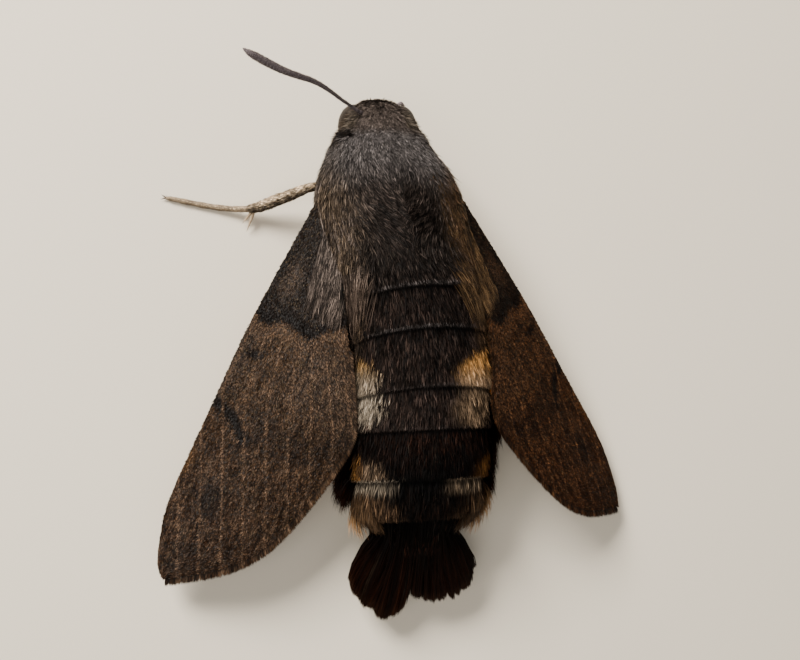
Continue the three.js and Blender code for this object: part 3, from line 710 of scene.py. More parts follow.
def body_markings(name):
    """Colours of skin and coat by station along the body and angle from the back's midline."""
    w, given, result = new_group(
        name, {"Station": 0.0, "Side": 0.0, "Ring": 0.0, "Scatter": 0.5}, "Color")

    def tone(key, *change):
        return shade(getattr(tones(), key), *change)

    raw = w.place(given["Station"], given["Side"])
    wander = w.minus(w.noise(raw, 1.3, 2.0), 0.5)
    jump = w.minus(given["Scatter"], 0.5)
    station = w.plus(given["Station"], w.plus(w.times(wander, 0.5), w.times(jump, 0.3)))
    side = w.plus(given["Side"], w.times(jump, 16.0))
    bow = w.math("COSINE", w.math("RADIANS", w.minus(given["Side"], BOW_CREST)))
    depth = SEGMENT_BOW[0][1]
    for (front, most), (rear, least) in zip(SEGMENT_BOW[:-1], SEGMENT_BOW[1:]):
        change = w.node("ShaderNodeMapRange", {0: given["Station"], 1: front, 2: rear, 3: 0.0,
                                               4: least - most})
        depth = w.plus(depth, change.outputs[0])
    bow = w.times(w.minus(1.0, bow), w.times(depth, w.grade(given["Station"], *BOW_RISE)))
    along = w.math("DIVIDE", w.plus(w.minus(station, bow), BACK_START), BACK_LENGTH)
    colour = w.ramp(along, [((place + BACK_START) / BACK_LENGTH, tone(*change))
                            for place, *change in BACK_TONES])
    where = w.place(station, side)
    dorsal = w.times(w.patch(raw, (6.0, -4), (3.8, 40), 0.7), 0.6)
    colour = w.mix(dorsal, colour, tone("abdomen", 0.8))
    to_rear = w.grade(station, 13.2, 14.5)
    blends = {"blaze": w.mix(to_rear, tone("orange", 0.98, 0.86), tone("pale", 0.98, 1.24)),
              "cream": w.mix(to_rear, tone("orange", 0.38, 0.76), tone("pale", 0.64, 1.04))}
    for centre, size, soft, change in SIDE_SPOTS:
        spot = blends[change] if change in blends else tone(*change)
        colour = w.mix(w.patch(where, centre, size, soft), colour, spot)
    for angle in (68, -68):
        cheek = w.patch(raw, (0.9, angle), (1.1, 24), 0.4)
        colour = w.mix(cheek, colour, tone("flank", 0.30))
    for angle in (46, -46):
        brow = w.times(w.patch(raw, (0.75, angle), (0.55, 6), 0.4), 0.6)
        colour = w.mix(brow, colour, tone("pale", 0.30))
    # Painted shade: a black mark in the gap between head and collar on the left side.
    neck_gap_shade = w.patch(raw, (1.62, 54), (0.20, 18), 0.35)
    colour = w.mix(neck_gap_shade, colour, tone("black", 1.2))
    flecks = w.grade(given["Scatter"], 0.25, 0.65, 0.25, 1.0)
    patches = w.grade(w.noise(raw, 0.35, 2.0), 0.38, 0.60, 0.25, 1.0)
    # Pale rims along the ring edges: partly pale scales, partly a painted highlight where the ring
    # edges catch the light.
    loose = w.plus(given["Ring"], w.times(jump, 0.16))
    for edge, strength in zip(SEGMENT_EDGES[1:5], (0.40, 0.52, 0.16, 0.12)):
        rim = w.times(w.box(loose, edge - 0.02, edge + 0.16, 0.06), flecks)
        rim = w.times(w.times(rim, w.box(given["Side"], -38, 44, 22)), patches)
        colour = w.mix(w.times(rim, strength), colour, tone("collar", 0.62))
    frayed = w.plus(given["Ring"], w.times(jump, 0.24))
    for low, high, scale, warm in ((29, 82, 0.62, 1.0), (-66, -22, 0.60, 1.14)):
        bar = w.times(w.grade(frayed, 19.95, 20.08), w.grade(frayed, 21.1, 20.1))
        bar = w.times(w.times(bar, w.box(side, low, high, 9)),
                      w.grade(given["Scatter"], 0.0, 0.5, 0.5, 1.0))
        colour = w.mix(bar, colour, tone("pale", scale, warm))
    belly = w.grade(w.math("ABSOLUTE", given["Side"]), 112, 138)
    colour = w.mix(belly, colour, tone("collar", 0.9, 1.1))
    w.set(result, colour)


def scale_tone(name):
    """Makes each scale its own shade, with a few pale ones; its dark root is painted shade between
    the tufts and its lighter tip painted light.
    """
    w, given, result = new_group(
        name, {"Color": (0.5, 0.5, 0.5, 1), "Tone": 0.5, "Reach": 0.5, "Contrast": 0.5,
               "Pale Share": 0.1, "Pale Color": (0.6, 0.5, 0.4, 1)}, "Color")
    swing = w.times(w.minus(given["Tone"], 0.5), given["Contrast"])
    # Painted shade and light: each scale darkens towards its root, where the tufts shade each
    # other, and lightens towards its tip.
    root = w.grade(given["Reach"], 0.0, 0.9, 0.12, 1.60)
    gain = w.times(w.math("EXPONENT", swing), root)
    colour = w.node("ShaderNodeVectorMath", {0: given["Color"], "Scale": gain},
                    operation="SCALE").outputs[0]
    odd = w.math("FRACT", w.times(given["Tone"], 171.31))
    pale = w.math("LESS_THAN", odd, given["Pale Share"])
    pale = w.times(pale, w.grade(given["Reach"], 0.1, 0.7, 0.15, 0.55))
    w.set(result, w.mix(pale, colour, given["Pale Color"]))


def wing_markings(name):
    """Colours of the forewing by distance from the hinge, offset and distance from its lines, with
    painted shade and warm bounce light on the right wing.
    """
    brown, grey, dark = (np.array(c) for c in (tones().wing_brown, tones().wing_grey,
                                               tones().wing_dark))
    lit = (brown + grey) * 0.85
    w, given, result = new_group(
        name, {"Out": 0.0, "Across": 0.0, "Inner Line": 0.0, "Outer Line": 0.0, "Vein": 0.0,
               "Shaded": 0.0, "Scatter": 0.5}, "Color")

    def paint(under, mask, tone, amount=None):
        """Lays a tone over what is there."""
        return w.mix(mask if amount is None else w.times(mask, amount), under, tone)

    jump = w.minus(given["Scatter"], 0.5)
    raw = w.place(given["Out"], given["Across"])
    cloud = w.noise(raw, 0.9, 4.0, 0.65)
    blotch = w.noise(raw, 2.3, 3.0, 0.7)
    streaks = w.noise(w.place(w.times(given["Out"], 0.55), w.times(given["Across"], 4.5)),
                      1.0, 3.0, 0.6)
    inner = w.plus(given["Inner Line"], w.times(jump, 0.25))
    outer = w.plus(given["Outer Line"], w.times(jump, 0.25))

    # Ground: browner outside, mottled, with a grey middle and a grey front edge.
    colour = w.mix(w.grade(given["Out"], 9.0, 19.0), shade(brown),
                   tint(brown, 0.58, 0.44, 0.30))
    colour = paint(colour, w.grade(cloud, 0.42, 0.62), shade(brown, 0.42), 0.80)
    middle = w.times(w.box(given["Out"], 6.6, 10.6, 1.4), w.grade(given["Across"], 1.0, 3.4))
    colour = paint(colour, middle, shade(grey, 1.25), 0.7)
    colour = paint(colour, w.grade(blotch, 0.50, 0.66, 0.0, 0.75), shade(lit, 1.2))
    colour = paint(colour, w.grade(blotch, 0.47, 0.34, 0.0, 0.65), shade(dark, 1.6))
    colour = paint(colour, w.grade(streaks, 0.42, 0.66, 0.0, 0.6), shade(lit, 1.3))
    colour = paint(colour, w.grade(streaks, 0.50, 0.32, 0.0, 0.6), shade(brown, 0.35))
    edge = w.times(w.grade(given["Across"], 0.2, -0.7), w.box(given["Out"], 7.0, 11.4, 0.6))
    colour = paint(colour, edge, shade(grey, 0.9), 0.6)

    # Grey root of the wing, pale streaks, and the two dark lines with their fainter companions.
    colour = paint(colour, w.grade(inner, 0.25, -0.25), shade(grey, 0.34))
    inside = w.times(w.grade(inner, 0.1, -0.3), w.grade(cloud, 0.40, 0.60))
    colour = paint(colour, inside, shade(dark, 2.0), 0.8)
    colour = paint(colour, w.patch(raw, (4.3, 0.1), (1.1, 0.55), 0.5), shade(grey, 1.25), 0.7)
    colour = paint(colour, w.patch(raw, (15.4, -0.95), (0.75, 0.22), 0.4), shade(brown, 2.1), 0.8)
    colour = paint(colour, w.box(inner, 0.35, 1.0, 0.3), shade(lit, 1.6), 0.5)
    colour = paint(colour, w.box(inner, -0.48, 0.14, 0.14), shade(dark), 0.97)
    colour = paint(colour, w.box(inner, -1.35, -1.0, 0.2), shade(dark), 0.5)
    near = w.grade(given["Across"], 2.0, 1.1)
    strong = w.times(w.box(outer, -0.36, 0.26, 0.12), w.plus(0.30, near))
    colour = paint(colour, w.math("MINIMUM", strong, 0.97), shade(dark))
    faint = w.times(w.box(outer, -1.6, -0.4, 0.5),
                    w.times(w.grade(given["Across"], 0.8, 1.8), 0.55))
    colour = paint(colour, faint, shade(dark, 2.0))
    for centre, size, soft, amount in (
            ((8.7, -0.1), (0.24, 0.46), 0.3, 0.95), ((3.6, -0.62), (0.8, 0.3), 0.4, 0.8),
            ((16.9, 0.9), (1.1, 0.8), 0.6, 0.75), ((20.6, 1.2), (1.2, 1.4), 0.5, 0.45)):
        colour = paint(colour, w.patch(raw, centre, size, soft), shade(dark, 1.3), amount)
    broken = w.grade(w.noise(raw, 1.7, 2.0), 0.35, 0.60, 0.15, 0.75)
    colour = paint(colour, w.grade(given["Vein"], 0.82, 0.97), shade(lit, 1.9), broken)
    # Painted shade: the right wing's colours are darkened and warmed, as if it lay in shade under
    # warm bounce light.
    warm = w.mix(given["Shaded"], (1.0, 1.0, 1.0, 1), (0.95, 0.70, 0.50, 1))
    w.set(result, w.mix(1.0, colour, warm, "MULTIPLY"))


def fine_relief(name):
    """Height of the small grain left between scales."""
    w, given, result = new_group(name, {"Grain": 8000.0, "Stretch": 5.0}, "Height", FLOAT)
    coordinates = w.node("ShaderNodeTexCoord").outputs["Object"]
    squeeze = w.node("ShaderNodeCombineXYZ", {0: given["Stretch"], 1: 1.0, 2: given["Stretch"]})
    vector = w.node("ShaderNodeVectorMath", {0: coordinates, 1: squeeze.outputs[0]},
                    operation="MULTIPLY")
    w.set(result, w.noise(vector.outputs[0], given["Grain"], 4.0, 0.6))


GROUPS = {"Body Markings": body_markings, "Scale Tone": scale_tone, "Wing Markings": wing_markings,
          "Fine Relief": fine_relief}
BODY_INPUTS = {"Station": "station", "Side": "side", "Ring": "ring"}
WING_INPUTS = {"Out": "out", "Across": "across", "Inner Line": "inner", "Outer Line": "outer",
               "Vein": "vein", "Shaded": "shaded"}


def new_material(name, colour_rule, roughness, sheen=0.15, specular=0.25, grain=None, strength=0.3):
    """Material whose base colour comes from `colour_rule`, with optional fine relief."""
    made = bpy.data.materials.new(name)
    made.use_nodes = True
    w = Wiring(made.node_tree)
    shader = made.node_tree.nodes["Principled BSDF"]
    for key, value in (("Roughness", roughness), ("Specular IOR Level", specular),
                       ("Sheen Weight", sheen), ("Sheen Roughness", 0.45),
                       ("Sheen Tint", (0.75, 0.78, 0.85, 1)), ("Base Color", colour_rule(w))):
        w.set(shader.inputs[key], value)
    if grain:
        bump = w.node("ShaderNodeBump", {"Strength": strength, "Distance": 0.00005,
                                         "Height": w.group("Fine Relief", {"Grain": grain})})
        w.set(shader.inputs["Normal"], bump.outputs["Normal"])
    return made


def toned(w, colour, contrast, pale_share, pale):
    return w.group("Scale Tone", {
        "Color": colour, "Tone": w.channel("tone"), "Reach": w.channel("reach"),
        "Contrast": contrast, "Pale Share": pale_share, "Pale Color": pale})


def marked(w, name, inputs, coat):
    """Colour from a group of markings; each tuft of a coat reads them a little off its place."""
    channels = {**inputs, "Scatter": "tone"} if coat else inputs
    return w.group(name, {key: w.channel(channel) for key, channel in channels.items()})


def even_coat(w):
    """Body coat with strong contrast on the thorax and where it is dark."""
    colour = marked(w, "Body Markings", BODY_INPUTS, True)
    light = w.node("ShaderNodeRGBToBW", {0: colour}).outputs[0]
    contrast = w.math("MINIMUM", w.grade(w.channel("station"), 1.2, 4.6, 2.8, 4.8),
                      w.grade(light, 0.015, 0.09, 4.8, 2.6))
    return toned(w, colour, contrast, 0.006, shade(tones().pale, 0.3))


def flank_colour(w):
    """Grey in front, warmer and paler towards the rear; on the moth's right, browner and warmer as
    painted shade and warm bounce light.
    """
    flank = tones().flank
    # Painted light and shade: the `warm` channel marks the moth's right, whose hair is painted
    # warmer for its shade and warm bounce light.
    warm = w.channel("warm")
    front = w.mix(warm, shade(tones().thorax, 1.95), tint(flank, 0.74, 0.74 * 0.86, 0.74 * 0.64))
    back = w.mix(warm, tint(flank, 0.60, 0.62, 0.74), tint(flank, 1.00, 0.88, 0.68))
    return w.mix(w.grade(w.channel("station"), 5.5, 10.0), front, back)


def tail_colour(w):
    """Black scales that turn to red brown where they thin out at their tips."""
    thin = w.grade(w.channel("reach"), 0.80, 1.0, 0.0, 0.7)
    return w.mix(thin, tint(tones().black, 3.4, 1.9, 0.7), (0.016, 0.0065, 0.0032, 1))


def wing_flecks(w):
    """Share of pale scales, which stand in loose clusters."""
    where = w.place(w.channel("out"), w.channel("across"))
    share = w.grade(w.noise(where, 1.9, 3.0, 0.7), 0.44, 0.66, 0.02, 0.18)
    share = w.times(share, w.grade(w.channel("out"), 8.0, 19.0, 1.0, 0.45))
    for line, centre in (("inner", 0.17), ("outer", 0.05)):
        gap = w.math("ABSOLUTE", w.plus(w.channel(line), centre))
        share = w.times(share, w.grade(gap, 0.30, 0.55, 0.1, 1.0))
    # Painted shade: the shaded right wing gets fewer pale flecks.
    return w.times(share, w.minus(1.0, w.times(w.channel("shaded"), 0.6)))


def hindwing_colour(w):
    border = w.grade(w.channel("out"), 10.8, 13.2)
    return w.mix(border, shade(tones().hindwing), shade(tones().wing_brown, 0.5))


def leg_colour(w):
    stripe = w.times(w.channel("stripe"), w.grade(w.channel("tone"), 0.2, 0.5))
    colour = w.mix(stripe, shade(tones().leg), shade(tones().flank, 0.25))
    spots = w.grade(w.grain(1500.0, 3.0), 0.50, 0.62, 0.0, 0.7)
    return w.mix(spots, colour, shade(tones().flank, 0.5))


def mottled(colour, dark, scale=2500.0):
    """Rule for two shades of one colour."""
    return lambda w: w.mix(w.grade(w.grain(scale), 0.35, 0.65), shade(colour, dark), shade(colour))


def finishes():
    """Colour rule, roughness, sheen, specular level, grain and its strength of each finish."""
    pale, flank, leg = tones().pale, tones().flank, tones().leg
    return {
        "moth_skin": (lambda w: marked(w, "Body Markings", BODY_INPUTS, False),
                      0.8, 0.0, 0.1, 9000.0, 0.6),
        "moth_coat": (even_coat, 0.55, 0.0, 0.06),
        "flank_hair": (lambda w: toned(w, flank_colour(w), 4.8, 0.02, shade(pale, 0.5)),
                       0.55, 0.0, 0.07),
        "black_scales": (lambda w: toned(w, tail_colour(w), 1.8, 0.012, shade(flank, 0.5)),
                         0.5, 0.0, 0.06),
        "rump_hair": (lambda w: toned(w, (0.026, 0.0148, 0.0074, 1), 2.6, 0.05, shade(pale, 0.5)),
                      0.55, 0.0, 0.10),
        "pale_scales": (lambda w: toned(w, (0.24, 0.135, 0.060, 1), 1.8, 0.2, shade(flank)),
                        0.5, 0.0, 0.15),
        "wing_skin": (lambda w: marked(w, "Wing Markings", WING_INPUTS, False),
                      0.75, 0.0, 0.1, 12000.0, 0.5),
        "wing_scales": (lambda w: toned(w, marked(w, "Wing Markings", WING_INPUTS, True), 2.4,
                                        wing_flecks(w), (0.088, 0.060, 0.032, 1)),
                        0.5, 0.0, 0.10),
        "hindwing_scales": (lambda w: toned(w, hindwing_colour(w), 1.1, 0.03, shade(pale)),
                            0.6, 0.04),
        "leg_skin": (mottled(leg, 0.45), 0.65, 0.15, 0.25, 14000.0),
        "spur_skin": (mottled(shade(leg, 1.6), 0.6), 0.55, 0.15, 0.25, 14000.0),
        "leg_scales": (lambda w: toned(w, leg_colour(w), 2.2, 0.1, shade(pale)), 0.55, 0.0, 0.15),
        "antenna_skin": (mottled((0.150, 0.120, 0.120), 0.45, 3000.0),
                         0.55, 0.05, 0.25, 16000.0, 0.5),
        "antenna_scales": (lambda w: toned(w, (0.20, 0.168, 0.175, 1), 1.5, 0.0, shade(pale)),
                           0.5, 0.0, 0.15),
        "claw_horn": (mottled((0.060, 0.030, 0.014), 0.5, 5000.0), 0.4, 0.0),
        "tongue_skin": (mottled((0.045, 0.022, 0.010), 0.5, 4000.0), 0.4, 0.0),
        "eye_gloss": (mottled(tones().eye, 0.4, 1800.0), 0.42, 0.0, 0.14, 11000.0, 0.35),
    }


def material(name):
    """Finds a finish, or makes it the first time it is asked for."""
    return bpy.data.materials.get(name) or new_material(name, *finishes()[name])


# ---- Pieces ---------------------------------------------------------------------------------
BODY_GIRTH = 3.6  # radius that turns an angle round the body into a distance
RING_OVERLAP = 0.10  # how far the scales of a ring reach over the next one
BODY_CHANNELS = {"station": lambda u, v: u, "side": lambda u, v: np.degrees(v),
                 "ring": segment_station}


def clear_of_eyes(u, v):
    """True for roots that don't lie on an eye or its rim."""
    gaps = [(body_surface(u, v) - centre) / np.array([EYE_DEPTH, EYE_RADIUS, EYE_RADIUS])
            for centre in EYE_CENTRES.values()]
    return np.linalg.norm(gaps, axis=2).min(0) > 1.02


def lay_body_coat(name, stations, angles, count, rules, offset):
    """Coat over a stretch of the body, whose tips stop at the rear edge of their ring.

    `rules` gives length, width, lift and lean by station and angle, the spread of the lean, the
    number of tufts in a lock, and a density where it isn't even.
    """
    rng = stream(offset)
    sizes = bpy.context.scene.moth_sizes
    u, v = scatter(rng, body_surface, tuft_count(count), (stations[0], math.radians(angles[0])),
                   (stations[1], math.radians(angles[1])), rules.get("density"))
    keep = clear_of_eyes(u, v)
    u, v = u[keep], v[keep]
    degrees = np.degrees(v)
    lock, middle = find_locks(rng, u, v, BODY_GIRTH, max(len(u) // rules["gather"], 1))
    lock_tone, lock_lift, lock_length = lock_values(rng, lock, 3)
    length = rules["length"](u, degrees) * rng.uniform(0.7, 1.15, len(u)) * sizes.coat_scale
    length = length * (0.82 + 0.36 * lock_length)
    edges = np.array(SEGMENT_EDGES)
    along_rings = segment_station(u, v)
    index = np.searchsorted(edges, along_rings)
    on_ring = (index > 0) & (index < len(edges))
    ahead = np.where(on_ring, edges[np.minimum(index, len(edges) - 1)], np.inf)
    limit = ahead + RING_OVERLAP + rng.normal(0, 0.04, len(u)) - along_rings
    length = np.clip(length, 0.05, np.maximum(limit, 0.12))
    width = rules["width"](u, degrees) * rng.uniform(0.7, 1.3, len(u))
    lift = rules["lift"](u, degrees) + rng.normal(0, 4, len(u)) + 9 * (lock_lift - 0.5)
    lift = np.radians(np.maximum(lift, 2))
    lean = np.radians(rules["lean"](u, degrees) + rng.normal(0, rules["stray"], len(u)))
    root, bend, tip, side = comb(body_surface, u, v, rng, length, lift, lean, 0.3)
    drift = body_surface(u, middle) - body_surface(u, v)
    drift = drift / np.maximum(1, np.linalg.norm(drift, axis=1, keepdims=True) / 0.15)
    bend, tip = bend + 0.3 * drift, tip + 0.75 * drift
    tips = along_rings + length * np.cos(lift) * np.cos(lean)
    coat_piece(name, root, bend, tip, side, width, (u, v),
               {"station": u, "side": degrees, "ring": np.stack([along_rings, tips], 1)},
               rng, material("moth_coat"), tone=lock_tone)


def thorax_lean(s, a):
    """Hair runs in to a whorl on the back and out again over the wing roots."""
    from_whorl = a + 4
    inward = 58 * np.exp(-((s - 5.7) / 1.5) ** 2) * np.exp(-((np.abs(from_whorl) - 18) / 22) ** 2)
    inward = inward + 16 * np.exp(-((s - 3.6) / 1.0) ** 2) * np.exp(-((from_whorl - 24) / 22) ** 2)
    outward = 14 * smooth(6.5, 8.0, s) * np.sin(np.radians(np.clip(from_whorl * 2, -90, 90)))
    return -np.sign(from_whorl) * inward * smooth(0, 6, np.abs(from_whorl)) + outward


class MOTH_OT_skin(bpy.types.Operator):
    """One skin over head, thorax and abdomen"""
    bl_idname = "moth.skin"
    bl_label = "Skin"

    def execute(self, context):
        inside = [SEGMENT_EDGES[i] + d for i in range(7) for d in (-0.012, 0.012)]
        us = np.unique(np.round(np.concatenate([
            HEAD_FRONT + np.linspace(0, 1, 14) ** 1.9 * 1.0,
            np.linspace(0.65, BODY_REAR, 190), inside]), 4))
        nodes = ["head", "collar", "thorax"] + [f"abdomen_{i}" for i in range(1, 8)]
        skin_piece("moth_skin", body_surface, us, 96, BODY_CHANNELS, material("moth_skin"),
                   nodes)
        return {"FINISHED"}


class MOTH_OT_eyes(bpy.types.Operator):
    """Domed eyes at the sides of the head"""
    bl_idname = "moth.eyes"
    bl_label = "Eyes"

    def execute(self, context):
        for side, centre in EYE_CENTRES.items():
            sign = SIDES[side]

            def dome(polar, turn, centre=centre, sign=sign):
                ring = np.sin(polar) * EYE_RADIUS
                return centre + np.stack([sign * np.cos(polar) * EYE_DEPTH, ring * np.sin(turn),
                                          ring * np.cos(turn)], -1)
            skin_piece(f"eye_{side}_dome", dome, np.linspace(0.02, math.pi - 0.02, 40), 64, {},
                       material("eye_gloss"), [f"eye_{side}"])
        return {"FINISHED"}


class MOTH_OT_mouth(bpy.types.Operator):
    """Blunt scaly palps with the coiled tongue between them"""
    bl_idname = "moth.mouth"
    bl_label = "Palps and tongue"

    def execute(self, context):
        for side, sign in SIDES.items():
            path = [head_point(sign * x, y, z) for x, y, z in (
                (0.76, 1.15, -1.90), (0.74, 0.50, -1.82), (0.60, -0.08, -1.30),
                (0.46, -0.28, -0.60))]
            tube = tube_surface(
                path, ((0, 0.16), (0.25, 0.32), (0.65, 0.36), (0.9, 0.26), (1, 0.06)))
            channels = {"station": lambda u, v: 0.4 + 0 * u, "side": lambda u, v: 118 + 0 * u}
            skin_piece(f"palp_{side}_skin", tube, np.linspace(0, 1, 24), 28, channels,
                       material("moth_skin"), [f"palp_{side}"])
            lay_scales(f"palp_{side}_coat", tube, 5000, (0.02, -math.pi), (0.97, math.pi),
                       (0.16, 0.32), (0.03, 0.055), (22, 6), channels, stream(40 + sign),
                       "moth_coat", "face_fur")
        turns = np.linspace(0, 1, 60)
        angle = 0.35 * math.pi + turns * 2.9 * math.pi
        radius = 0.95 - 0.72 * turns
        coil = [head_point(0, 0.92 - r * math.cos(a), r * math.sin(a) - 2.88)
                for r, a in zip(radius, angle)]
        tube = tube_surface(coil, ((0, 0.22), (0.6, 0.17), (1, 0.08)))
        skin_piece("tongue_coil", tube, np.linspace(0, 1, 160), 16, {}, material("tongue_skin"),
                   ["tongue"])
        return {"FINISHED"}


class MOTH_OT_antennae(bpy.types.Operator):
    """Club-shaped feelers of many short rings, with a hooked tip"""
    bl_idname = "moth.antennae"
    bl_label = "Antennae"

    def execute(self, context):
        for side, path in ANTENNAE.items():
            girth = track(((0, 0.13), (0.04, 0.075), (0.30, 0.080), (0.50, 0.115), (0.72, 0.155),
                           (0.88, 0.180), (0.95, 0.140), (0.985, 0.06), (1.0, 0.02)))
            shares = np.linspace(0, 1, 241)
            rings = 1 + 0.07 * np.abs(np.sin(shares * math.pi * 48)) ** 0.6
            tube = tube_surface(path, np.column_stack([shares, girth(shares)[:, 0] * rings]), 0.9)
            skin_piece(f"antenna_{side}_rings", tube, shares, 20, {}, material("antenna_skin"),
                       [f"antenna_{side}"])
            lay_scales(f"antenna_{side}_scales", tube, 6500, (0.01, -math.pi), (0.985, math.pi),
                       (0.07, 0.13), (0.022, 0.036), (18, 8), {}, stream(50 + (side == "left")),
                       "antenna_scales", "antenna")
        return {"FINISHED"}


class MOTH_OT_legs(bpy.types.Operator):
    """Six scaly legs with spurs on the shins and jointed feet with claws"""
    bl_idname = "moth.legs"
    bl_label = "Legs"

    def execute(self, context):
        for number, (name, joints) in enumerate(LEGS.items()):
            self.leg(name, [np.array(joint) for joint in joints], stream(60 + number))
        return {"FINISHED"}

    def leg(self, name, joints, rng):
        hip, knee, ankle, toe = joints
        heel = ankle + (toe - ankle) * 0.4
        heel[1] += 0.16
        heel[2] = HEEL_HEIGHT
        toe = toe.copy()
        toe[2] = TOE_HEIGHT
        path = [hip, hip + (knee - hip) * 0.5, knee, knee + (ankle - knee) * 0.5, ankle, heel, toe]
        steps = np.linalg.norm(np.diff(path, axis=0), axis=1)
        shares = np.concatenate([[0], np.cumsum(steps)]) / steps.sum()
        at_knee, at_ankle = shares[2], shares[4]
        girth = track(((0, 0.22), (at_knee * 0.5, 0.27), (at_knee * 0.95, 0.18),
                       (at_knee * 1.05, 0.19), ((at_knee + at_ankle) / 2, 0.270),
                       (at_ankle * 0.985, 0.22), (at_ankle * 1.03, 0.160), (0.97, 0.11), (1, 0.03)))
        u = np.linspace(0, 1, 220)
        foot = np.clip((u - at_ankle) / (1 - at_ankle), 0, 1)
        rings = np.where(u > at_ankle, 1 + 0.16 * (foot * 5 % 1) ** 2, 1)
        tube = tube_surface(path, np.column_stack([u, girth(u)[:, 0] * rings]))
        skin_piece(f"leg_{name}_skin", tube, u, 18, {}, material("leg_skin"),
                   [f"femur_{name}", f"tibia_{name}", f"tarsus_{name}"])
        count = tuft_count(7500 if name == "mid_left" else 5000)
        u, v = scatter(rng, tube, count, (0.02, -math.pi), (0.985, math.pi))
        on_foot = smooth(at_ankle - 0.02, at_ankle + 0.03, u)
        length = rng.uniform(0.20, 0.36, count) * (1 - 0.55 * on_foot)
        width = rng.uniform(0.045, 0.075, count) * (1 - 0.4 * on_foot)
        lift = np.radians(rng.normal(13, 6, count) * (1 - 0.3 * on_foot))
        root, bend, tip, turn = comb(tube, u, v, rng, length, lift, rng.normal(0, 0.15, count))
        for points in (bend, tip):
            points[:, 2] = np.maximum(points[:, 2], HAIR_CLEARANCE)
        rearward = tube(u, v)[:, 1] - tube(u, v + math.pi)[:, 1]
        stripe = smooth(-0.10, 0.18, rearward) * (1 - 0.45 * on_foot)
        coat_piece(f"leg_{name}_scales", root, bend, tip, turn, width, (u, v),
                   {"stripe": stripe}, rng, material("leg_scales"))
        self.hooks(name, ankle, knee, toe, heel)

    def hooks(self, name, ankle, knee, toe, heel):
        """Spurs at the end of the shin, short spines under the foot, and two claws."""
        down_leg = unit(ankle - knee)
        along = unit(toe - heel)
        across = unit(np.cross(along, np.array([0.0, 0.0, 1.0])))
        down = np.array([0.0, 0.0, -1.0])
        rear = np.array([0.0, 1.0, 0.0])
        spurs = [(ankle - down_leg * 0.22,
                  ankle + unit(down_leg * lean + rear + down * 0.3) * size, 0.10)
                 for lean, size in ((0.25, 1.40), (0.9, 1.05))]
        hooks = []
        for side in (across, -across):
            end = toe + along * 0.26 + side * 0.14 + down * 0.05
            hooks.append((toe - along * 0.05, end, 0.035))
        for share in np.linspace(0.12, 0.95, 9):
            root = heel + (toe - heel) * share
            for side in (across, -across):
                hooks.append((root, root + along * 0.17 + side * 0.16 + down * 0.06, 0.016))
        for kind, spikes, finish in (("spurs", spurs, "spur_skin"), ("claws", hooks, "claw_horn")):
            points, faces = [], []
            for root, tip, radius in spikes:
                tip = tip.copy()
                tip[2] = max(tip[2], CLAW_CLEARANCE)
                middle = (root + tip) / 2 + np.array([0, 0, 0.03])
                tube = tube_surface([root, middle, tip],
                                    ((0, radius), (0.5, radius * 0.8), (1, 0.004)))
                grid, skin, _, _ = skin_grid(tube, np.linspace(0, 1, 9), 8)
                faces.append(skin + sum(len(part) for part in points))
                points.append(grid)
            new_piece(f"leg_{name}_{kind}", np.concatenate(points), np.concatenate(faces), {},
                      material(finish))


class MOTH_OT_head_coat(bpy.types.Operator):
    """Short velvety scales of the face, with a tousled crown, brows and a crest in front"""
    bl_idname = "moth.head_coat"
    bl_label = "Head coat"

    def execute(self, context):
        lay_body_coat("coat_head", (HEAD_FRONT + 0.01, 1.95), (-180, 180), 40000, {
            "length": lambda s, a: 0.20 + 0.20 * smooth(-0.3, 1.4, s),
            "width": lambda s, a: 0.034 + 0 * s,
            "lift": lambda s, a: 32 - 10 * smooth(-0.2, 1.5, s),
            "lean": lambda s, a: 12 * np.sin(np.radians(a)),
            "stray": 16, "gather": 12}, 10)
        tousled = (
            ("crown", (-0.15, 1.75), (-48, 48), 5200, (0.30, 0.56), 24, (-40, 40), 15),
            ("muzzle", (-0.375, -0.27), (-180, 180), 900, (0.24, 0.42), 16, (140, 220), 19),
            ("crest", (-0.30, 0.15), (-80, 80), 2200, (0.26, 0.46), 34, (-55, 55), 16),
            ("brow_left", (0.05, 1.85), (42, 70), 4200, (0.40, 0.86), 20, (24, 84), 17),
            ("brow_right", (0.05, 1.85), (-70, -42), 4200, (0.40, 0.86), 20, (-84, -24), 18),
        )
        for name, stations, angles, count, lengths, lift, leans, offset in tousled:
            self.tousle(name, stations, angles, count, lengths, lift, leans, stream(offset))
        return {"FINISHED"}

    def tousle(self, name, stations, angles, count, lengths, lift, leans, rng):
        """Loose locks that stand out of the short coat."""
        u, v = scatter(rng, body_surface, tuft_count(count), (stations[0], math.radians(angles[0])),
                       (stations[1], math.radians(angles[1])))
        lock, _ = find_locks(rng, u, v, 1.8, len(u) // 14, 0.8)
        lock_tone, lock_lean, lock_lift = lock_values(rng, lock, 3)
        length = rng.uniform(*lengths, len(u))
        width = rng.uniform(0.026, 0.044, len(u))
        lean = np.radians(leans[0] + (leans[1] - leans[0]) * lock_lean + rng.normal(0, 8, len(u)))
        raised = np.radians(lift + 26 * (lock_lift - 0.5) + rng.normal(0, 5, len(u)))
        root, bend, tip, side = comb(body_surface, u, v, rng, length, raised, lean, 0.25)
        coat_piece(f"hair_{name}", root, bend, tip, side, width, (u, v),
                   {"station": u, "side": np.degrees(v)}, rng, material("moth_coat"),
                   tone=lock_tone)


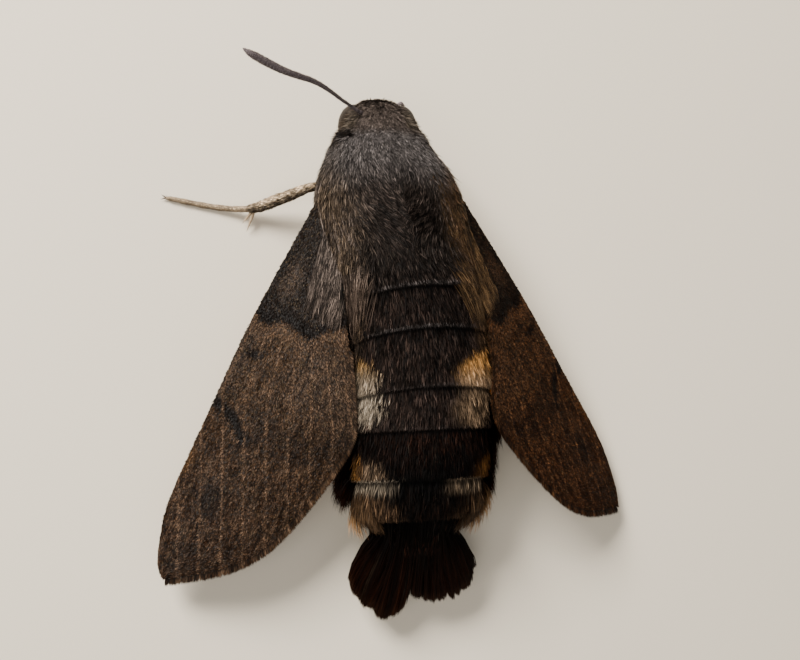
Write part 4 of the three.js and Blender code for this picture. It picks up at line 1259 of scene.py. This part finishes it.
class MOTH_OT_thorax_coat(bpy.types.Operator):
    """Fine hair of collar and thorax, in a left and a right half"""
    bl_idname = "moth.thorax_coat"
    bl_label = "Thorax coat"

    def execute(self, context):
        for name, angles, offset in (("left", (0, 180), 11), ("right", (-180, 0), 12)):
            lay_body_coat(f"coat_thorax_{name}", (1.50, 8.30), angles, 57000, {
                "length": lambda s, a: (0.40 + 0.42 * smooth(1.9, 4.0, s)
                                        + 0.25 * smooth(50, 80, np.abs(a))),
                "width": lambda s, a: 0.038 + 0.014 * smooth(3, 5, s),
                "lift": lambda s, a: (20 + 5 * np.exp(-((s - 1.8) / 0.4) ** 2)
                                      - 6 * smooth(60, 90, np.abs(a))),
                "lean": thorax_lean,
                "density": lambda u, v: (1.0 - 0.8 * smooth(1.7, 2.2, np.abs(v))) * smooth(
                    0, 0.3, u - 1.5 - 0.35 * (1 - np.cos(v))),
                "stray": 10, "gather": 12}, offset)
        return {"FINISHED"}


class MOTH_OT_abdomen_coat(bpy.types.Operator):
    """Combed scales of the abdomen, ring by ring"""
    bl_idname = "moth.abdomen_coat"
    bl_label = "Abdomen coat"

    def execute(self, context):
        for name, stations, offset in (("front", (8.1, 15.0), 13), ("rear", (15.0, 23.6), 14)):
            lay_body_coat(f"coat_abdomen_{name}", stations, (-180, 180), 61000, {
                "length": lambda s, a: 0.72 + 0.35 * smooth(14, 21, s),
                "width": lambda s, a: 0.046 + 0.010 * smooth(15, 20, s),
                "lift": lambda s, a: 8 + 6 * smooth(19, 22, s) + 3 * smooth(60, 90, np.abs(a)),
                "lean": lambda s, a: 4 * np.sin(np.radians(a) * 2),
                "density": lambda u, v: 1.0 - 0.6 * smooth(1.8, 2.3, np.abs(v)),
                "stray": 5, "gather": 18}, offset)
        return {"FINISHED"}


def side_channels(station, sign):
    """Channels of side hair, which is warmer on the moth's right, as painted warm bounce light and
    shade on that side.
    """
    return {"station": station, "warm": np.full(len(station), float(sign < 0))}


def wing_spot(wing, p, q, height):
    """Point over the upper side of a forewing."""
    surface = wing_surface(wing)
    front, rear = surface.chord(p)
    turn = np.arccos(np.clip(1 - 2 * (q - front) / (rear - front), -1, 1))
    return surface(p, turn) + wing_plane(wing)[3] * height[:, None]


class MOTH_OT_shoulder_hair(bpy.types.Operator):
    """Long hair that sweeps from the sides of the thorax over the wing roots and flanks"""
    bl_idname = "moth.shoulder_hair"
    bl_label = "Shoulder hair"

    def execute(self, context):
        for number, (name, sign) in enumerate(SIDES.items()):
            rng = stream(20 + number)
            self.sweep(f"shoulder_hair_{name}", sign, (3.2, 9.6), (36, 88), (1.7, 3.4), 17, 12.5,
                       10000, rng, [f"shoulder_tuft_{name}"])
            self.sweep(f"flank_hair_{name}", sign, (8.6, 13.6), (74, 99), (1.2, 2.2), 4, 15.2,
                       3200, rng)
            self.wing_root(name, sign, WINGS[name], rng)
        return {"FINISHED"}

    def sweep(self, name, sign, stations, angles, lengths, outward, limit, count, rng, replaced=()):
        """Long hair along one side that runs back, and `outward` degrees out, to a last station."""
        count = tuft_count(count)
        station = rng.uniform(*stations, count)
        share = rng.random(count)
        angle = angles[0] + (angles[1] - angles[0]) * share ** 0.7 + rng.normal(0, 5, count)
        near_back = 1 - smooth(36, 66, angle)
        angle = np.radians(angle) * sign
        lock, middle = find_locks(rng, station, angle, BODY_GIRTH, count // 22)
        lock_tone, lock_turn, lock_lift = lock_values(rng, lock, 3)
        root = body_surface(station, angle)
        reach = rng.uniform(*lengths, count) * (1 - 0.50 * near_back * rng.random(count))
        end_station = np.minimum(station + reach, limit + rng.normal(0, 0.30, count))
        end_station = np.maximum(end_station, station + 0.4)
        turn = outward * (0.55 + 0.6 * lock_turn) * smooth(stations[0], stations[1] - 1, station)
        end_angle = 0.3 * angle + 0.7 * middle + np.radians(turn + rng.normal(0, 2, count)) * sign
        end, _, _, normal = surface_frame(body_surface, end_station, end_angle)
        spread = smooth(46, 86, np.degrees(np.abs(angle)))
        tip = end + normal * (0.14 + 0.30 * spread * lock_lift + 0.06 * rng.random(count))[:, None]
        middle_point, _, _, lift = surface_frame(body_surface, (station + end_station) / 2,
                                                 (angle + end_angle) / 2)
        bend = middle_point + lift * (0.40 + 0.30 * spread * lock_lift)[:, None]
        side = unit(np.cross(tip - root, lift)) + rng.normal(0, 0.35, (count, 3))
        width = rng.uniform(0.024, 0.044, count)
        coat_piece(name, root, bend, tip, unit(side), width, (station, angle),
                   side_channels(station, sign), rng, material("flank_hair"),
                   cuts=(0.0, 0.3, 0.6), taper=0.5, tone=lock_tone, replaced=replaced)

    def wing_root(self, name, sign, wing, rng):
        """Hair lying on the wing from its root outwards."""
        count = tuft_count(5600)
        p = rng.uniform(-0.1, 4.7, count)
        front, rear = wing_surface(wing).chord(np.maximum(p, 0))
        share = rng.uniform(0.40, 1.0, count) ** 0.8
        q = front + (rear - front) * share
        lock, middle = find_locks(rng, p, q, 1.0, count // 20, 0.25)
        lock_tone = lock_values(rng, lock)[0]
        length = rng.uniform(0.7, 1.4, count) * (0.6 + 0.5 * share)
        height = rng.uniform(0.03, 0.18, count)
        root = wing_spot(wing, p, q, 0 * p)
        bend = wing_spot(wing, p + length * 0.5, q + 0.1, height + 0.10)
        tip = wing_spot(wing, p + length, 0.4 * q + 0.6 * middle + rng.normal(0.2, 0.08, count),
                        height * 0.7)
        side = unit(np.cross(tip - root, bend - (root + tip) / 2) + rng.normal(0, 0.02, (count, 3)))
        width = rng.uniform(0.020, 0.034, count)
        coat_piece(f"wing_root_hair_{name}", root, bend, tip, side, width, (p, share),
                   side_channels(5.0 + 0.45 * p, sign), rng, material("flank_hair"),
                   cuts=LONG_HAIR_CUTS, taper=0.5, tone=lock_tone)


class MOTH_OT_side_tufts(bpy.types.Operator):
    """Long scales that stand out from the flanks of the abdomen"""
    bl_idname = "moth.side_tufts"
    bl_label = "Side tufts"

    def execute(self, context):
        # Kind, side, stations, lengths, angles, how far it stands out, finish, tufts, its solids.
        tufts = (
            ("black", "left", (17.2, 20.6), (1.1, 1.9), (78, 112), 1.35, "black_scales", 4000,
             (1, 2)),
            ("pale", "left", (21.2, 21.8), (1.7, 2.4), (84, 96), 0.85, "pale_scales", 150, (3,)),
            ("black", "right", (15.4, 20.8), (0.9, 1.7), (78, 112), 0.80, "black_scales", 3800,
             (1, 2)),
            ("pale", "right", (20.3, 22.0), (1.0, 1.9), (76, 104), 1.10, "pale_scales", 620, (3,)),
            ("brown", "left", (12.6, 17.0), (0.8, 1.5), (84, 120), 0.35, "flank_hair", 1600, ()),
            ("brown", "right", (12.6, 16.4), (0.8, 1.5), (84, 120), 0.30, "black_scales", 1600, ()),
            ("rump", "left", (20.6, 22.2), (0.8, 1.4), (50, 100), 0.40, "rump_hair", 2400, ()),
            ("rump", "right", (20.6, 22.2), (0.8, 1.4), (50, 100), 0.45, "rump_hair", 2400, ()),
        )
        for number, (kind, name, stations, lengths, angles, stand, finish, count,
                     solids) in enumerate(tufts):
            rng = stream(24 + number)
            sign = SIDES[name]
            count = tuft_count(count)
            station = rng.uniform(*stations, count)
            angle = sign * np.radians(rng.uniform(*angles, count))
            root, along, _, normal = surface_frame(body_surface, station, angle)
            length = rng.uniform(*lengths, count)[:, None]
            out = (stand * rng.uniform(0.45, 1.0, count))[:, None]
            bend = root + along * length * 0.4 + normal * out * 0.75
            tip = root + along * length * 0.95 + normal * out * 0.8
            tip = tip + rng.normal(0, 0.06, (count, 3))
            side = unit(np.cross(along, normal) + rng.normal(0, 0.45, (count, 3)))
            width = rng.uniform(0.04, 0.08, count)
            lock, middle = find_locks(rng, station, angle, BODY_GIRTH, max(count // 20, 4), 0.6)
            lock_tone = lock_values(rng, lock)[0]
            drift = body_surface(station, middle) - body_surface(station, angle)
            tip = tip + 0.8 * drift + unit(along * 0.5 + normal) * (lock_tone - 0.5)[:, None] * 0.4
            coat_piece(f"tuft_{kind}_{name}", root, bend, tip, side, width, (station, angle),
                       side_channels(station, sign), rng, material(finish),
                       cuts=LONG_HAIR_CUTS,
                       taper=0.45, tone=lock_tone,
                       replaced=[f"side_tuft_{name}_{solid}" for solid in solids])
        return {"FINISHED"}


class MOTH_OT_tail_fan(bpy.types.Operator):
    """Broad brush of long black scales in two lobes"""
    bl_idname = "moth.tail_fan"
    bl_label = "Tail fan"

    def execute(self, context):
        rng = stream(30)
        end_at = track(FAN_OUTLINE)
        count = tuft_count(17000)
        across = rng.uniform(-1, 1, count)
        layer = rng.uniform(-1, 1, count)
        station = rng.uniform(22.1 + 0.9 * np.abs(across), 24.3, count)
        angle = np.arctan2(across * 1.15,
                           layer * np.sqrt(np.clip(1.3 - across ** 2, 0.05, 1)) + 0.25)
        root = body_surface(station, angle)
        middles = np.sort(rng.uniform(-0.97, 0.97, 64))
        lock = np.abs(across[:, None] - middles[None]).argmin(1)
        lock_tone, lock_reach = lock_values(rng, lock, 2)
        spread = 0.35 * across + 0.65 * middles[lock] + rng.normal(0, 0.012, count)
        spread = np.sign(spread) * np.abs(spread) ** 0.92
        x = FAN_MIDDLE + spread * FAN_HALF_WIDTH
        from_cleft = x - FAN_CLEFT
        x = x + np.where(np.abs(from_cleft) < 0.30, np.sign(from_cleft) * 0.10, 0)
        furthest = end_at(x)[:, 0] + 0.05 - 0.34 * lock_reach ** 2
        trim = np.where(rng.random(count) < 0.6, rng.uniform(0, 0.30, count),
                        rng.uniform(0, 3.2, count))
        y = np.maximum(furthest - trim, station + 1.0)
        grown = np.clip((y - station) / (furthest - station), 0.1, 1)
        x = root[:, 0] + (x - root[:, 0]) * grown ** 0.85
        share = (y - FAN_START) / FAN_LENGTH
        thick = 0.80 - 0.45 * np.clip(share, 0, 1)
        thick = thick * np.sqrt(np.clip(1.1 - (spread * 0.98) ** 2, 0.05, 1))
        z = 2.45 - 0.95 * share + layer * thick
        tip = np.stack([x, y, np.maximum(z, 0.9)], -1)
        bend = root * 0.45 + tip * 0.55
        bow = 0.60 + 0.32 * smooth(0.55, 0.95, np.abs(spread))
        bend[:, 0] = root[:, 0] * (1 - bow) + tip[:, 0] * bow
        bend[:, 2] += 0.25 * layer
        side = unit(np.array([1.0, 0.0, 0.0]) + rng.normal(0, 0.45, (count, 3)))
        width = rng.uniform(0.045, 0.085, count)
        coat_piece("tail_fan_scales", root, bend, tip, side, width, (station, angle), {}, rng,
                   material("black_scales"), cuts=(*LONG_HAIR_CUTS, 0.9), taper=0.35,
                   tone=lock_tone, replaced=["tail_fan_left", "tail_fan_right"])
        return {"FINISHED"}


def line_gap(line, p, q):
    offsets, distances = np.array(line).T
    return p - np.interp(q, offsets, distances)


def wing_channels(wing, p, q):
    """Channels that the wing's markings read."""
    width = wing[3]
    q = q / np.where(q > 0, width, 1)
    fan = np.where(p < 11, (q + 0.6) * 11 / np.maximum(p, 1) - 0.6, q - 0.42 * (p - 11))
    ribs = 1 - np.abs((fan / VEIN_SPACING + 0.2) % 1 - 0.5) * 2
    return {"out": p, "across": q, "inner": line_gap(INNER_LINE, p, q),
            "outer": line_gap(OUTER_LINE, p, q), "vein": ribs * smooth(3, 8, p),
            "shaded": float(width < 1) + 0 * p}


class MOTH_OT_forewings(bpy.types.Operator):
    """Forewings: thin membrane, dense scales above and below, and a fringe"""
    bl_idname = "moth.forewings"
    bl_label = "Forewings"

    def execute(self, context):
        membrane = context.scene.moth_sizes.membrane / MM
        for number, (name, wing) in enumerate(WINGS.items()):
            offset = 70 + 5 * number
            surface = wing_surface(wing, membrane=membrane)

            def channel(key, wing=wing, surface=surface):
                return lambda p, turn: wing_channels(wing, p, surface.offset(p, turn))[key]
            skin_piece(f"forewing_{name}_membrane", surface, np.linspace(0, FOREWING_TIP, 150), 72,
                       {key: channel(key) for key in WING_INPUTS.values()}, material("wing_skin"),
                       [f"forewing_{name}"])
            self.scales(name, "top", wing, surface, (0.02, math.pi - 0.02), 72000, stream(offset))
            self.scales(name, "under", wing, surface, (-math.pi + 0.02, -0.02), 14000,
                        stream(offset + 1))
            self.fringe(name, wing, surface, stream(offset + 2))
        return {"FINISHED"}

    def scales(self, name, face, wing, surface, turns, count, rng):
        length = bpy.context.scene.moth_sizes.scale_length / MM
        count = tuft_count(count)
        u, v = scatter(rng, surface, count, (0.05, turns[0]), (FOREWING_TIP - 0.04, turns[1]))
        reach = length * rng.uniform(0.65, 1.3, count)
        width = length * rng.uniform(0.22, 0.42, count)
        q = surface.offset(u, v)
        lean = rng.normal(0, 0.22, count) + 0.05 * q * np.sign(np.sin(v))
        lift = np.radians(rng.normal(13, 6, count)) * smooth(0, 0.5, np.abs(np.sin(v)))
        root, bend, tip, side = comb(surface, u, v, rng, reach, lift, lean, 0.2, 0.35)
        coat_piece(f"forewing_{name}_scales_{face}", root, bend, tip, side, width, (u, v),
                   wing_channels(wing, u, q), rng, material("wing_scales"))

    def fringe(self, name, wing, surface, rng):
        """Fine bristles along the outer and rear edges."""
        count = tuft_count(8000)
        p = rng.uniform(6.5, FOREWING_TIP - 0.02, count)
        _, along, across, normal = wing_plane(wing)
        rear = np.full(count, math.pi)
        root = surface(p, rear)
        edge = unit(surface(np.minimum(p + 0.05, FOREWING_TIP), rear) - surface(p - 0.05, rear))
        out = unit(np.cross(edge, normal))
        out = out * np.sign(out @ across)[:, None]
        length = (rng.uniform(0.22, 0.50, count) * (0.7 + 0.3 * smooth(10, 14, p)))[:, None]
        heading = unit(out + along * 0.75 + rng.normal(0, 0.12, (count, 3)))
        tip = root + heading * length
        bend = root + heading * length * 0.5 + normal * 0.02
        side = unit(edge + rng.normal(0, 0.25, (count, 3)))
        width = rng.uniform(0.03, 0.055, count)
        root = root - heading * 0.06
        q = surface.chord(p)[1]
        coat_piece(f"forewing_{name}_fringe", root, bend, tip, side, width, (p, rng.random(count)),
                   wing_channels(wing, p, q), rng, material("wing_scales"))


class MOTH_OT_hindwings(bpy.types.Operator):
    """Orange hindwings folded below the forewings"""
    bl_idname = "moth.hindwings"
    bl_label = "Hindwings"

    def execute(self, context):
        for number, (name, wing) in enumerate(WINGS.items()):
            surface = wing_surface(wing, HINDWING_EDGES, HINDWING_DROP, HINDWING_MEMBRANE)
            start, end = HINDWING_REACH
            skin_piece(f"hindwing_{name}_membrane", surface, np.linspace(start, end, 90), 60,
                       {"out": lambda u, v: u, "tone": lambda u, v: 0.5 + 0 * u,
                        "reach": lambda u, v: 0.5 + 0 * u},
                       material("hindwing_scales"), [f"hindwing_{name}"])
            lay_scales(f"hindwing_{name}_scales", surface, 9000, (start + 0.05, -math.pi),
                       (end - 0.05, math.pi), (0.18, 0.34), (0.06, 0.10), (10, 5),
                       {"out": lambda u, v: u}, stream(80 + 2 * number), "hindwing_scales",
                       "hindwing", curl=0.2, roll=0.3)
        return {"FINISHED"}


PICTURE_WIDTH = 800  # pixels
PIXELS_PER_MM = 18.3  # at the target
PIXELS_ASIDE = 12  # how far the target lies to the right of the picture's middle


class MOTH_OT_stage(bpy.types.Operator):
    """Pale floor, soft lights and the camera"""
    bl_idname = "moth.stage"
    bl_label = "Stage"

    def execute(self, context):
        scene = context.scene
        half = 3.0
        mesh = bpy.data.meshes.new("floor")
        corners = [(-half, -half, 0), (half, -half, 0), (half, half, 0), (-half, half, 0)]
        mesh.from_pydata(corners, [], [(0, 1, 2, 3)])
        floor = bpy.data.objects.new("floor", mesh)
        scene.collection.objects.link(floor)
        paint = bpy.data.materials.new("floor_paint")
        paint.use_nodes = True
        shader = paint.node_tree.nodes["Principled BSDF"]
        shader.inputs["Base Color"].default_value = (0.82, 0.735, 0.60, 1)
        shader.inputs["Roughness"].default_value = 0.7
        mesh.materials.append(paint)
        for name, place, size, watts, tone in (
                ("key_light", (0.11, -0.13, 0.12), 0.08, 1.10, (1.0, 0.95, 0.88)),
                ("fill_light", (-0.16, 0.02, 0.22), 0.20, 0.03, (0.90, 0.94, 1.0)),
                ("top_light", (0.12, 0.05, 0.28), 0.22, 0.40, (1.0, 0.96, 0.9))):
            lamp = bpy.data.lights.new(name, "AREA")
            lamp.size = size
            lamp.energy = watts
            lamp.color = tone
            light = bpy.data.objects.new(name, lamp)
            light.location = place
            back = np.array(place) / np.linalg.norm(place)
            side = unit(np.cross([0.0, 0.0, 1.0], back))
            light.matrix_world = (Matrix.Translation(place)
                                  @ Matrix(np.column_stack([side, np.cross(back, side), back])
                                           .tolist()).to_4x4())
            scene.collection.objects.link(light)
        world = bpy.data.worlds.new("studio")
        world.use_nodes = True
        light = world.node_tree.nodes["Background"]
        light.inputs["Color"].default_value = (0.88, 0.86, 0.83, 1)
        light.inputs["Strength"].default_value = 0.24
        scene.world = world
        self.camera(scene)
        return {"FINISHED"}

    def camera(self, scene):
        """Looks down on the back from a little to the moth's left, head upwards in the frame."""
        swing, pitch = math.radians(14), math.radians(1)
        distance, target = 62.0, np.array([0.0, 12.0, 4.4])
        pixels = PIXELS_PER_MM * distance  # focal length in pixels
        back = unit(np.array([math.sin(swing) * math.cos(pitch), -math.sin(pitch),
                              math.cos(swing) * math.cos(pitch)]))
        up = np.array([0.0, -1.0, 0.0])
        up = unit(up - back * (up @ back))
        right = np.cross(up, back)
        place = target + back * distance - right * PIXELS_ASIDE / PIXELS_PER_MM
        lens = bpy.data.cameras.new("camera")
        lens.sensor_width = 36.0
        lens.lens = pixels / PICTURE_WIDTH * lens.sensor_width
        lens.clip_start = 0.002
        lens.clip_end = 10.0
        view = bpy.data.objects.new("camera", lens)
        turn = Matrix(np.column_stack([right, up, back]).tolist()).to_4x4()
        view.matrix_world = Matrix.Translation(((place + SEAT) * MM).tolist()) @ turn
        scene.collection.objects.link(view)
        scene.camera = view


class MOTH_PT_panel(bpy.types.Panel):
    """Lists the pieces of the moth"""
    bl_label = "Hawk Moth"
    bl_space_type = "VIEW_3D"
    bl_region_type = "UI"
    bl_category = "Hawk Moth"

    def draw(self, context):
        for piece in PIECES:
            self.layout.operator(piece.bl_idname)
        for group in (context.scene.moth_sizes, context.scene.moth_colours):
            for name in group.bl_rna.properties.keys():
                if name not in ("name", "rna_type"):
                    self.layout.prop(group, name)


PIECES = (
    MOTH_OT_skin, MOTH_OT_eyes, MOTH_OT_mouth, MOTH_OT_antennae, MOTH_OT_legs, MOTH_OT_head_coat,
    MOTH_OT_thorax_coat, MOTH_OT_abdomen_coat, MOTH_OT_shoulder_hair, MOTH_OT_side_tufts,
    MOTH_OT_tail_fan, MOTH_OT_forewings, MOTH_OT_hindwings, MOTH_OT_stage,
)
CLASSES = (MothSizes, MothColours, *PIECES, MOTH_PT_panel)


def register():
    for item in CLASSES:
        bpy.utils.register_class(item)
    bpy.types.Scene.moth_sizes = PointerProperty(type=MothSizes)
    bpy.types.Scene.moth_colours = PointerProperty(type=MothColours)


def unregister():
    del bpy.types.Scene.moth_colours
    del bpy.types.Scene.moth_sizes
    for item in reversed(CLASSES):
        bpy.utils.unregister_class(item)


def main():
    register()
    for piece in PIECES:
        family, name = piece.bl_idname.split(".")
        getattr(getattr(bpy.ops, family), name)()


if __name__ == "__main__":
    main()
